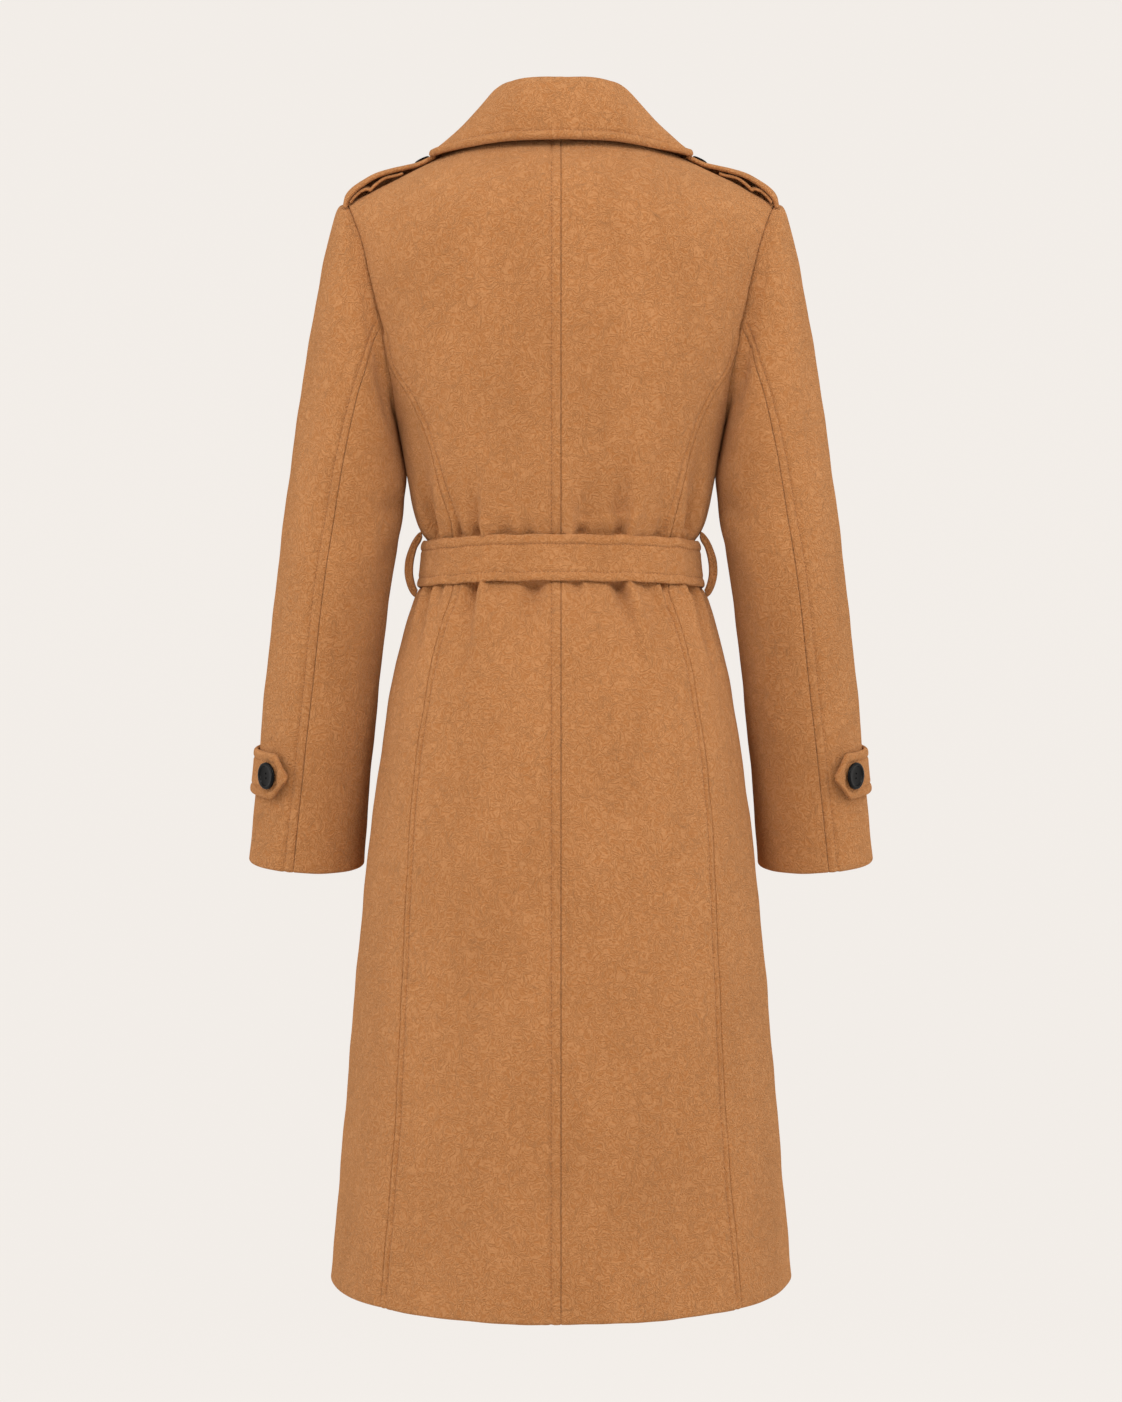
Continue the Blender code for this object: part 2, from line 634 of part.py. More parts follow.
def front_sink(point):
    """How far a left front piece sinks to pass beneath the right front, and above the break its lapel too."""
    x, z = point[..., 0], point[..., 2]
    cover = -along(FRONT_EDGE, "x", z)
    depth = TUCK_DEPTH + LAPEL_TUCK_DEPTH * ease((z - LAPEL_BREAK_Z + 0.03) / 0.03)
    return depth * (1 - ease((x - cover - 0.002) / TUCK_LENGTH))


def facing(angle, z, side, lift=0.0):
    """The body's surface where a piece's own angles are counted from the wearer's left or right side."""
    if side > 0:
        return body_surface(angle, z, lift)
    turned = np.where(angle >= 0, math.pi - angle, -math.pi - angle)
    return body_surface(turned, z, lift)


def body_pieces():
    grids = (
        ("back", back_panel_grid(13)),
        ("side_back", side_panel_grid(len(SIDE_BETAS))),
        ("front", front_panel_grid(12)),
    )
    for stem, (angle, z) in grids:
        for side, word in SIDES:
            outer, normal = facing(angle, z, side)
            if stem == "front" and side > 0:
                outer = outer - normal * front_sink(outer)[..., None]
            add_wall(f"{stem}_{word}", outer, outer - WALL * normal)


def lapel_pieces():
    """A lapel for each front, lying on it from the roll line out."""
    roll_z, outer_x, outer_z = rows_through(LAPEL, ("roll_z", "outer_x", "outer_z"), 13).T
    shares = np.linspace(0, 1, 9)[None, :]
    x = between(along(FRONT_EDGE, "x", roll_z) + REST_GAP, outer_x, shares)
    z = between(roll_z, outer_z, shares)
    for side, word in SIDES:
        outer, normal = facing(-angle_at(x, z), z, side, LAPEL_GAP + WALL)
        if side > 0:
            outer = outer - normal * front_sink(outer)[..., None]
        add_wall("lapel_" + word, outer, outer - WALL * normal)


# ---- the sleeves ----


def sleeve_points(beta, step):
    """The sleeve's surface: beta in radians round it, from 0 on the outside over the back, and step along it."""
    edge, edge_normal = armhole(beta)
    rings = [edge + (SEAM_GAP, 0, 0)]
    for outer_x, outer_z, inner_x, inner_z, middle_y, half_depth, back_drop in zip(*SLEEVE.values()):
        x = (outer_x + inner_x) / 2 + (outer_x - inner_x) / 2 * np.cos(beta)
        y = middle_y + half_depth * np.sin(beta)
        z = (outer_z + inner_z) / 2 + (outer_z - inner_z) / 2 * np.cos(beta) - back_drop * np.sin(beta)
        rings.append(np.stack([x, y, z], axis=-1))
    rings = np.array(rings)
    places = np.arange(len(rings))
    rows = [through(places, rings[:, i], step[i, :1])[0] for i in range(len(step))]
    return np.array(rows), edge_normal


def sleeve_surface(beta, step):
    """Points and outward directions of the sleeve's outer face, for places whose rows share one step.

    At the armhole the wall turns with the body's."""
    point, edge_normal = sleeve_points(beta, step)
    small = 1e-3
    around = sleeve_points(beta + small, step)[0] - sleeve_points(beta - small, step)[0]
    low = np.maximum(step - small, 0)
    down = sleeve_points(beta, low + 2 * small)[0] - sleeve_points(beta, low)[0]
    share = ease(step / 0.8)[..., None]
    return point, unit(edge_normal * (1 - share) + unit(np.cross(down, around)) * share)


def sleeve_grid(armhole_betas, start, end):
    """Places on the sleeve between two seams. Its columns start where the armhole's edge has its points.

    Start and end are 1 where the piece's first and last edges follow the back seam, and 0 at the front seam."""
    steps = np.array(SLEEVE_STEPS)
    seam = np.radians(through(np.arange(len(SLEEVE_BACK_SEAM)), SLEEVE_BACK_SEAM, steps)) - SEAM_TOP_BETA
    shares = (armhole_betas - armhole_betas[0]) / (armhole_betas[-1] - armhole_betas[0])
    even = np.linspace(0, 1, len(armhole_betas))
    blend = ease(steps / 3)[:, None]
    gap = SEAM_GAP * 0.75 / SLEEVE_PANEL_WIDTH
    shares = gap + (1 - 2 * gap) * (shares * (1 - blend) + even * blend)
    beta = between(armhole_betas[0] + seam * start, armhole_betas[-1] + seam * end, shares)
    return beta, steps[:, None] + 0 * beta


def sleeve_pieces():
    over = np.concatenate([FRONT_BETAS[SLEEVE_FRONT_SEAM:-1], BACK_BETAS[::-1]])
    beneath = np.concatenate([SIDE_BETAS[:-1], FRONT_BETAS[: SLEEVE_FRONT_SEAM + 1] + 2 * math.pi])
    for stem, grid in (("sleeve_top", sleeve_grid(over, 0, 1)), ("sleeve_under", sleeve_grid(beneath, 1, 0))):
        outer, normal = sleeve_surface(*grid)
        add_pair(stem, outer, outer - WALL * normal)


def sleeve_tabs():
    """A strap round each lower sleeve that ends in a point on the back."""
    beta = np.radians(np.linspace(TAB_START, TAB_END, 14))
    to_point = (beta[-1] - beta) * SLEEVE_PANEL_WIDTH
    half = TAB_HALF_WIDTH * np.minimum(1, 0.25 + 0.75 * to_point / TAB_POINT)
    step = TAB_RING + half * np.linspace(-1, 1, 5)[:, None] / RING_SPACING
    columns_made = [sleeve_surface(beta[j] + 0 * step[:, j : j + 1], step[:, j : j + 1]) for j in range(len(beta))]
    point = np.concatenate([column[0] for column in columns_made], axis=1)
    normal = np.concatenate([column[1] for column in columns_made], axis=1)
    inner = point + normal * REST_GAP
    add_pair("sleeve_tab", inner + normal * TAB_THICKNESS, inner)


# ---- what lies on the coat ----


def collar():
    """The collar as one wall: up from the neck seam, over the fold and down to the free edge."""
    rows = rows_through(COLLAR, COLLAR_COLUMNS.split(), 15)
    base, fold, edge, bulge = rows[:, 0:3], rows[:, 3:6], rows[:, 6:9], rows[:, 9:]
    up = np.array([0.0, 0.0, 1.0])
    out = unit((edge - fold) * (1, 1, 0))
    top = fold + out * 0.0040
    turn = top + out * 0.0045
    lines = [base, base * 0.6 + fold * 0.4, base * 0.2 + fold * 0.8 - out * 0.0005]
    lines += [fold - up * 0.0020, top + up * 0.0022, turn - up * 0.0012]
    for share in (0.22, 0.48, 0.76, 1.0):
        lines.append(turn * (1 - share) + edge * share + out * bulge * math.sin(math.pi * share))
    half = np.stack(lines, axis=1)
    whole = np.concatenate([half[:0:-1] * (-1, 1, 1), half])
    normal = unit(np.cross(np.gradient(whole, axis=0), np.gradient(whole, axis=1)))
    add_wall("collar", whole + normal * COLLAR_THICKNESS / 2, whole - normal * COLLAR_THICKNESS / 2)


def shoulder_strip(table, count, half_width, thickness):
    """A strip over the shoulder at the table's heights. Its faces' points, and its outward directions."""
    x, height = rows_through(table, ("x", "height"), count).T[:, :, None]
    y = half_width * np.linspace(-1, 1, 5)[None, :]
    inner = np.stack([x + 0 * y, y + 0 * x, ridge_z(x) - shoulder_fall(x, y) + REST_GAP + height], axis=-1)
    normal = unit(np.cross(np.gradient(inner, axis=1), np.gradient(inner, axis=0)))
    normal *= np.sign(normal[..., 2:])
    return inner + normal * thickness, inner, normal


def epaulettes():
    """A strap over each shoulder, from the armhole seam to beneath the collar, with its button."""
    outer, inner, normal = shoulder_strip(STRAP, 13, STRAP_HALF_WIDTH, STRAP_THICKNESS)
    add_pair("epaulette", outer, inner)
    seat = outer[STRAP_BUTTON_ROW, 2]
    out = normal[STRAP_BUTTON_ROW, 2]
    add_button_pair("epaulette_button", SMALL_BUTTON_RADIUS, seat + out * STRAP_BUTTON_LIFT, out)
    outer, inner, normal = shoulder_strip(LOWER_PLY, 14, LOWER_PLY_HALF_WIDTH, LOWER_PLY_THICKNESS)
    add_pair("epaulette_lower_ply", outer, inner)


def belt():
    """The belt is one strip: round the body from the buckle, then over its own start to a pointed end."""
    degrees = np.linspace(BELT_START, BELT_START + BELT_TURN, 56)[:, None]
    point = np.clip((degrees[-1] - degrees) / BELT_POINT, 0.12, 1)
    share = 0.5 + np.linspace(-0.495, 0.495, 4) * point
    angle = np.radians((degrees + 180) % 360 - 180) + 0 * share
    climb = ease((degrees - BELT_START - 336) / 20)
    lift = REST_GAP + (BELT_THICKNESS + REST_GAP) * climb + 0 * share
    low, _ = body_surface(angle, BELT_BOTTOM_Z + 0 * share, lift)
    high, normal = body_surface(angle, BELT_TOP_Z + 0 * share, lift)
    inner = low * (1 - share[..., None]) + high * share[..., None]
    add_wall("belt", inner + normal * BELT_THICKNESS, inner)


def belt_loops():
    """A narrow strip that stands out round the belt at each side seam."""
    width = np.linspace(-BELT_LOOP_HALF_WIDTH, BELT_LOOP_HALF_WIDTH, 3)
    faces = []
    for face in ("outer", "inner"):
        x = BELT_LOOP[face + "_x"][:, None]
        z = BELT_LOOP[face + "_z"][:, None]
        faces.append(np.stack([x + 0 * width, width + 0 * x, z + 0 * width], axis=-1))
    add_pair("belt_loop", *faces)


def add_button(name, radius, centre, normal):
    """A turned button with a raised rim and a dished face. Its back rests at centre."""
    thickness = radius * 0.28
    profile = (
        (0.0, 0.0),
        (radius * 0.80, 0.0),
        (radius, thickness * 0.45),
        (radius * 0.97, thickness * 0.85),
        (radius * 0.86, thickness),
        (radius * 0.72, thickness * 0.66),
        (0.0, thickness * 0.60),
    )
    shape = bmesh.new()
    corners = [shape.verts.new((r, 0.0, h)) for r, h in profile]
    edges = [shape.edges.new(pair) for pair in zip(corners, corners[1:])]
    bmesh.ops.spin(
        shape, geom=corners + edges, cent=(0, 0, 0), axis=(0, 0, 1), angle=2 * math.pi, steps=16, use_merge=True
    )
    bmesh.ops.remove_doubles(shape, verts=shape.verts, dist=1e-6)
    bmesh.ops.recalc_face_normals(shape, faces=shape.faces)
    mesh = bpy.data.meshes.new(name)
    shape.to_mesh(mesh)
    shape.free()
    made = add_object(name, smoothed(mesh), PLASTIC)
    made.location = centre
    made.rotation_euler = Vector(normal).to_track_quat("Z", "Y").to_euler()


def add_button_pair(stem, radius, centre, normal):
    for side, word in SIDES:
        add_button(f"{stem}_{word}", radius, centre * (side, 1, 1), normal * (side, 1, 1))


def buttons():
    """The buttons of the sleeve tabs and of the fronts. The wearer's left front ones only balance the right."""
    point, normal = sleeve_surface(np.radians([[TAB_BUTTON]]), np.array([[TAB_RING]]))
    seat = point + normal * (REST_GAP + TAB_THICKNESS + BUTTON_LIFT)
    add_button_pair("sleeve_tab_button", BUTTON_RADIUS, seat[0, 0], normal[0, 0])
    for side, word in SIDES:
        for row, z in enumerate(FRONT_BUTTON_HEIGHTS, start=1):
            angle = -angle_at(np.array([FRONT_BUTTON_X * side]), z)
            seat, normal = body_surface(angle, np.array([z]), BUTTON_LIFT)
            add_button(f"front_button_{word}_{row}", BUTTON_RADIUS, seat[0], normal[0])


def buckle():
    """A plain frame, bent from round bar, on the belt's outer layer."""
    middle_z = (BELT_TOP_Z + BELT_BOTTOM_Z) / 2
    lift = 2 * (BELT_THICKNESS + REST_GAP) + REST_GAP + BUCKLE_BAR / 2
    seat, _ = body_surface(np.array([-math.pi / 2]), np.array([middle_z]), lift)
    outline = bpy.data.curves.new("belt_buckle", "CURVE")
    outline.dimensions = "3D"
    outline.bevel_depth = BUCKLE_BAR / 2
    outline.bevel_resolution = 2
    corners = []
    for turn in np.radians(np.arange(0, 360, 22.5) + 11.25):
        x = math.copysign(BUCKLE_HALF_WIDTH - BUCKLE_CORNER, math.cos(turn)) + BUCKLE_CORNER * math.cos(turn)
        z = math.copysign(BUCKLE_HALF_HEIGHT - BUCKLE_CORNER, math.sin(turn)) + BUCKLE_CORNER * math.sin(turn)
        corners.append((x, 0.0, z))
    spline = outline.splines.new("POLY")
    spline.points.add(len(corners) - 1)
    spline.use_cyclic_u = True
    for place, corner in zip(spline.points, corners):
        place.co = (*corner, 1.0)
    made = add_object("belt_buckle", outline, PLASTIC)
    made.location = seat[0]


def main():
    for old in list(bpy.data.objects):
        bpy.data.objects.remove(old)
    coat = bpy.data.objects.new("trench_coat", None)
    bpy.context.scene.collection.objects.link(coat)
    body_pieces()
    lapel_pieces()
    sleeve_pieces()
    sleeve_tabs()
    collar()
    epaulettes()
    belt()
    belt_loops()
    buttons()
    buckle()


main()
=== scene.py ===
"""A belted wool trench coat, finished: its cloth, sewing, buttons and buckle, and a plain studio round it.

Metres, +Z up. The coat's front faces -Y and its back +Y, and the wearer's left is +X. The cloth follows the
frame's solids in finer steps, with its seams, folds and edges. A left piece is worked out on +X. Its right
twin is the same cut mirrored, and on the body and the sleeves it has folds of its own.
"""

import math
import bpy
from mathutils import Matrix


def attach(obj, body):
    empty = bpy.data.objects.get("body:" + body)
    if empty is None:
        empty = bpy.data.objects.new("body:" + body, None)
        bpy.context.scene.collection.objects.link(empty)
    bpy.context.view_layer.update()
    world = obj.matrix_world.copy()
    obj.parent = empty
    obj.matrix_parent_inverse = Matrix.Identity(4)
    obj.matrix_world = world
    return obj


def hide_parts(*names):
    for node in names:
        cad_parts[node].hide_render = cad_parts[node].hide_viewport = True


bl_info = {
    "name": "Belted Trench Coat",
    "version": (1, 0, 0),
    "blender": (4, 5, 0),
    "location": "3D View > Sidebar > Coat",
    "description": "Makes a filled-out wool trench coat with its sewing, belt and buttons",
    "category": "Add Mesh",
}

import bmesh
import bpy
import numpy as np
from bpy.props import FloatProperty, FloatVectorProperty, IntProperty, PointerProperty
from mathutils import Vector

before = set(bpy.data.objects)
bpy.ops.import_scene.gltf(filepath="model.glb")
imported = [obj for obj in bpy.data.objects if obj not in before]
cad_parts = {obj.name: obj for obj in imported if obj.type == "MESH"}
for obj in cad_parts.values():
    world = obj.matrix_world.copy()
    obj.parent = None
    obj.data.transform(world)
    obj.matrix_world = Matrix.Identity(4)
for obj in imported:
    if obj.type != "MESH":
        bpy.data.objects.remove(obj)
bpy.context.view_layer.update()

# ---- sizes shared with the solids ----

WALL = 0.0025  # thickness of the wool cloth
SEAM_GAP = -0.0001  # two pieces sewn together press into each other by this
REST_GAP = 0.0006  # between two pieces that lie on each other
LAPEL_GAP = 0.0019
BACK_SHOULDER_DROP = 0.100
FRONT_SHOULDER_DROP = 0.150
SHOULDER_POINT_X = 0.198
SHOULDER_POINT_Z = -0.0587
UNDERARM_Z = -0.262
BACK_SEAM_TOP_Z = -0.187
PANEL_TOP_Z = -0.275  # the rows above this follow the armhole's edge
ARMHOLE_ROWS = 12
LAPEL_BREAK_Z = -0.270
HEM_Z = -1.0640
HEM_RISE = 0.0115
HEM_RISE_TOP_Z = -0.900
NECK_HALF_WIDTH = 0.075
NECK_BACK_Y = 0.058
NECK_SHARE = 5 / 12  # of a back panel's top edge
SIDE_PANEL_WIDTH = 0.070  # roughly, at the waist
BELT_TOP_Z = -0.3700
BELT_BOTTOM_Z = -0.4125
BELT_THICKNESS = 0.0036
BELT_START = -89.5  # degrees round the body
BELT_TURN = 400.0
BELT_POINT = 9.0  # degrees of its point
BELT_END_TURN = 16  # the mesh is finer over the last degrees
BELT_CLIMB_START = 336  # it climbs over its own start from here, over a stretch of its own
BELT_CLIMB = 20
BELT_POINT_SLOPE = 0.7  # the way to the point's slanting edges, as a share of the way to its tip
BELT_RISE = 0.0026  # how far the belt rides up at the middle of the back
BUTTON_RADIUS = 0.0126
SMALL_BUTTON_RADIUS = 0.0074
BUCKLE_HALF_WIDTH = 0.022
BUCKLE_HALF_HEIGHT = 0.0265
BUCKLE_BAR = 0.0050
BUCKLE_CORNER = 0.007
TUCK_DEPTH = 0.0036  # how far the left front sinks beneath the right one
LAPEL_TUCK_DEPTH = 0.0044
TUCK_LENGTH = 0.055
ARMHOLE_MIDDLE_Z = (SHOULDER_POINT_Z + UNDERARM_Z) / 2
SEAM_TOP_BETA = math.acos((BACK_SEAM_TOP_Z - ARMHOLE_MIDDLE_Z) / (SHOULDER_POINT_Z - ARMHOLE_MIDDLE_Z))
SLOPE_STEP = 2e-5
SMALL_STEP = 1e-3
TINY = 1e-9
SIDES = ((1, "left"), (-1, "right"))


def columns(names, rows):
    """A table's columns by name."""
    return dict(zip(names.split(), np.array(rows, float).T))


# One row for each height of the body. A roundness of 2 makes its section an ellipse, more makes it fuller.
BODY = columns("z half_width back front roundness", (
    (0.030, 0.2150, 0.0960, 0.1000, 2.30),
    (-0.058, 0.2150, 0.1010, 0.1200, 2.30),
    (-0.094, 0.1985, 0.1030, 0.1270, 2.30),
    (-0.131, 0.1890, 0.1050, 0.1320, 2.30),
    (-0.167, 0.1815, 0.1060, 0.1350, 2.30),
    (-0.187, 0.1765, 0.1060, 0.1360, 2.30),
    (-0.220, 0.1660, 0.1050, 0.1350, 2.30),
    (-0.245, 0.1576, 0.1030, 0.1330, 2.30),
    (-0.262, 0.1522, 0.1010, 0.1310, 2.30),
    (-0.288, 0.1467, 0.0980, 0.1270, 2.30),
    (-0.316, 0.1421, 0.0950, 0.1210, 2.30),
    (-0.342, 0.1370, 0.0908, 0.1145, 2.30),
    (-0.3600, 0.1310, 0.0872, 0.1105, 2.30),
    (-0.3655, 0.1280, 0.0850, 0.1083, 2.30),
    (-0.3700, 0.1245, 0.0825, 0.1060, 2.30),
    (-0.3900, 0.1262, 0.0835, 0.1065, 2.30),
    (-0.4125, 0.1288, 0.0855, 0.1085, 2.30),
    (-0.4170, 0.1320, 0.0876, 0.1103, 2.30),
    (-0.435, 0.1395, 0.0950, 0.1160, 2.30),
    (-0.453, 0.1450, 0.1010, 0.1210, 2.30),
    (-0.490, 0.1540, 0.1090, 0.1260, 2.28),
    (-0.546, 0.1635, 0.1180, 0.1310, 2.25),
    (-0.620, 0.1740, 0.1270, 0.1370, 2.20),
    (-0.694, 0.1820, 0.1340, 0.1420, 2.16),
    (-0.805, 0.1920, 0.1440, 0.1490, 2.10),
    (-0.916, 0.2010, 0.1550, 0.1560, 2.05),
    (HEM_Z, 0.2135, 0.1710, 0.1680, 2.00),
))

# The top line of the shoulders, out from the middle.
RIDGE = columns("x z", (
    (0.000, 0.0120),
    (0.040, 0.0100),
    (0.075, 0.0000),
    (0.100, -0.0115),
    (0.150, -0.0356),
    (0.198, -0.0587),
    (0.220, -0.0690),
))

# The armhole's edge on the back and on the front.
ARMHOLE = columns("z back_x front_x", (
    (-0.0587, 0.1980, 0.1980),
    (-0.094, 0.1850, 0.1820),
    (-0.131, 0.1756, 0.1700),
    (-0.167, 0.1680, 0.1615),
    (-0.187, 0.1632, 0.1570),
    (-0.220, 0.1572, 0.1523),
    (-0.245, 0.1538, 0.1518),
    (-0.262, 0.1522, 0.1522),
))

# The curved seam between a back panel and its side panel.
BACK_SEAM = columns("z x", (
    (-0.187, 0.1632),
    (-0.212, 0.1575),
    (-0.244, 0.1386),
    (-0.286, 0.1217),
    (-0.325, 0.1105),
    (-0.370, 0.0992),
    (-0.392, 0.0965),
    (-0.418, 0.0985),
    (-0.451, 0.1086),
    (-0.490, 0.1184),
    (-0.532, 0.1254),
    (-0.567, 0.1305),
    (-0.615, 0.1355),
    (-0.696, 0.1395),
    (-0.916, 0.1490),
    (HEM_Z, 0.1610),
))

# Each front's free edge: straight up to the break, then the line along which its lapel folds back.
FRONT_EDGE = columns("z x", (
    (HEM_Z, -0.0800),
    (-0.330, -0.0800),
    (-0.270, -0.0780),
    (-0.200, -0.0380),
    (-0.130, 0.0020),
    (-0.060, 0.0450),
    (-0.036, 0.0590),
    (0.000, 0.0750),
))

# Folds round the body. Angles and widths are in degrees, from the wearer's left side towards the back. A fold
# moves by its lean over its length, is drawn in by its pinch where it starts, and is steeper on one flank by
# its skew.
FOLDS = columns("angle lean width start_z end_z height pinch skew", (
    # gathered above the belt at the back
    (23.0, 4, 5.5, -0.3700, -0.300, -0.0086, -0.0015, 0.3),
    (30.0, 3, 3.6, -0.3700, -0.315, -0.0062, -0.0016, 0.9),
    (45.0, 6, 5.2, -0.3700, -0.280, -0.0058, -0.0006, 0.0),
    (56.5, 5, 5.0, -0.3700, -0.275, -0.0088, -0.0012, 0.9),
    (70.0, 4, 7.0, -0.3700, -0.235, -0.0060, 0.0000, 0.0),
    (80.0, 2, 5.0, -0.3700, -0.290, -0.0040, -0.0008, 0.4),
    (95.5, -1, 4.4, -0.3700, -0.300, -0.0066, -0.0014, -0.7),
    (113.5, -6, 5.2, -0.3700, -0.275, -0.0086, -0.0012, 0.9),
    (104.0, -3, 7.5, -0.3700, -0.230, -0.0046, 0.0000, 0.0),
    (133.0, -7, 5.2, -0.3700, -0.290, -0.0052, -0.0010, 0.3),
    (148.0, -3, 4.2, -0.3700, -0.305, -0.0070, -0.0012, -0.9),
    (158.0, -2, 5.0, -0.3700, -0.332, -0.0034, -0.0010, 0.2),
    # gathered below the belt at the back
    (27.0, 5, 4.6, -0.4125, -0.495, -0.0060, -0.0012, 0.6),
    (36.0, 6, 4.0, -0.4125, -0.465, -0.0030, -0.0010, 0.4),
    (57.0, 3, 4.8, -0.4125, -0.515, -0.0082, -0.0034, 0.95),
    (82.0, -1, 6.8, -0.4125, -0.560, -0.0080, -0.0024, 0.2),
    (95.0, 2, 3.2, -0.4125, -0.460, -0.0030, -0.0012, 0.5),
    (112.0, 4, 5.0, -0.4125, -0.525, -0.0086, -0.0034, 0.9),
    (124.0, 2, 6.0, -0.4125, -0.530, -0.0030, -0.0006, 0.0),
    (133.0, -2, 3.4, -0.4125, -0.475, -0.0036, -0.0014, -0.4),
    (149.0, 8, 4.4, -0.4125, -0.530, -0.0072, -0.0014, -0.9),
    (158.0, 2, 4.5, -0.4125, -0.480, -0.0034, -0.0012, 0.3),
    # the same on the sides and the front
    (8.0, 3, 6.0, -0.3700, -0.315, -0.0030, -0.0015, 0.4),
    (-14.0, 3, 7.0, -0.3700, -0.300, -0.0036, -0.0012, -0.3),
    (-31.0, 4, 5.0, -0.3700, -0.310, -0.0032, -0.0018, 0.8),
    (-47.0, 5, 6.0, -0.3700, -0.290, -0.0034, -0.0010, 0.3),
    (-62.0, 2, 5.0, -0.3700, -0.318, -0.0020, -0.0010, -0.6),
    (-133.0, -4, 5.5, -0.3700, -0.300, -0.0030, -0.0012, 0.5),
    (-148.0, -5, 5.0, -0.3700, -0.285, -0.0034, -0.0018, -0.8),
    (-163.0, -3, 6.5, -0.3700, -0.310, -0.0030, -0.0012, 0.2),
    (173.0, -4, 6.0, -0.3700, -0.312, -0.0032, -0.0014, -0.4),
    (12.0, 5, 6.0, -0.4125, -0.500, -0.0034, -0.0024, 0.5),
    (-6.0, 3, 5.0, -0.4125, -0.480, -0.0028, -0.0026, -0.6),
    (-22.0, 3, 6.5, -0.4125, -0.520, -0.0038, -0.0030, 0.3),
    (-41.0, 4, 5.5, -0.4125, -0.540, -0.0040, -0.0040, 0.9),
    (-59.0, 2, 5.0, -0.4125, -0.480, -0.0024, -0.0024, -0.3),
    (-130.0, -3, 5.0, -0.4125, -0.490, -0.0030, -0.0030, 0.6),
    (-144.0, -4, 6.0, -0.4125, -0.520, -0.0040, -0.0042, -0.9),
    (-160.0, -4, 6.5, -0.4125, -0.530, -0.0036, -0.0026, 0.3),
    (-174.0, -2, 5.0, -0.4125, -0.475, -0.0026, -0.0022, 0.5),
    (168.0, -5, 6.0, -0.4125, -0.505, -0.0034, -0.0026, -0.4),
    # hollows of the upper back and along the side panels
    (27.0, 7, 8.0, -0.3640, -0.225, -0.0110, 0.0000, 0.0),
    (153.0, -7, 8.0, -0.3640, -0.225, -0.0110, 0.0000, 0.0),
    (24.0, 6, 8.0, -0.4125, -0.560, -0.0040, 0.0000, 0.0),
    (156.0, -6, 8.0, -0.4125, -0.560, -0.0040, 0.0000, 0.0),
    (62.0, 6, 8.0, -0.3550, -0.200, -0.0052, 0.0000, 0.3),
    (98.0, -3, 7.0, -0.3550, -0.230, -0.0044, 0.0000, -0.3),
    (112.0, -5, 8.0, -0.3500, -0.160, -0.0056, 0.0000, 0.3),
    (128.0, -6, 7.0, -0.3100, -0.200, -0.0020, 0.0000, 0.0),
    # long soft waves in the skirt
    (60.0, -3, 13.0, -0.780, -1.200, -0.0036, 0.0000, 0.0),
    (78.0, -2, 12.0, -0.700, -1.200, 0.0026, 0.0000, 0.0),
    (103.0, 2, 12.0, -0.760, -1.200, 0.0026, 0.0000, 0.0),
    (121.0, 3, 13.0, -0.740, -1.200, -0.0036, 0.0000, 0.0),
    (35.0, -3, 14.0, -0.720, -1.200, 0.0035, 0.0000, 0.0),
    (146.0, 3, 14.0, -0.760, -1.200, 0.0035, 0.0000, 0.0),
    (-40.0, 3, 14.0, -0.740, -1.200, -0.0040, 0.0000, 0.0),
    (-17.0, 2, 13.0, -0.700, -1.200, 0.0030, 0.0000, 0.0),
    (-163.0, -2, 13.0, -0.780, -1.200, 0.0035, 0.0000, 0.0),
    (-139.0, -3, 14.0, -0.720, -1.200, -0.0035, 0.0000, 0.0),
))

FOLD_FADE = 1.6  # how quickly a fold beside the belt dies away
FOLD_START_WIDTH = 0.55  # share of its width that a fold has at the belt, and what it gains from there
FOLD_GAIN = 0.75
PINCH_LENGTH = 0.016
BELT_PRESS = 0.004  # a fold dies away over this beneath the belt
SLOW_RIPPLE = 0.00045
QUICK_RIPPLE = 0.00022

# Rings of the sleeve below the armhole: outermost and innermost points, the forward lean of the middle, the
# depth from the middle, and how far the back edge hangs below the middle.
SLEEVE = columns("outer_x outer_z inner_x inner_z middle_y half_depth back_drop", (
    (0.2065, -0.0635, 0.1506, -0.2680, 0.0000, 0.0530, 0.000),
    (0.2125, -0.0850, 0.1489, -0.2770, 0.0010, 0.0550, 0.000),
    (0.2210, -0.1200, 0.1461, -0.2910, 0.0020, 0.0570, 0.000),
    (0.2310, -0.1760, 0.1425, -0.3120, 0.0030, 0.0580, 0.000),
    (0.2430, -0.2500, 0.1450, -0.3380, 0.0030, 0.0580, 0.000),
    (0.2540, -0.3300, 0.1497, -0.3700, 0.0020, 0.0570, 0.001),
    (0.2640, -0.4100, 0.1582, -0.4150, -0.0030, 0.0550, 0.003),
    (0.2735, -0.4900, 0.1675, -0.4900, -0.0140, 0.0520, 0.005),
    (0.2825, -0.5750, 0.1765, -0.5750, -0.0280, 0.0490, 0.007),
    (0.2932, -0.6680, 0.1847, -0.6732, -0.0450, 0.0465, 0.009),
))
SLEEVE_BACK_SEAM = columns("ring angle", (
    (0, 99.3),
    (0.5, 103.3),
    (1, 106.0),
    (1.5, 105.3),
    (2, 103.4),
    (3, 99.1),
    (4, 91.3),
    (5, 87.7),
    (6, 85.5),
    (7, 84.5),
    (8, 84.0),
    (9, 82.0),
    (10, 80.0),
))
SLEEVE_FRONT_SEAM = math.radians(-135)
SLEEVE_LENGTH = 0.66  # roughly, down its middle
CROWN_STEPS = 0.8  # rings over which the sleeve turns out of the armhole's edge

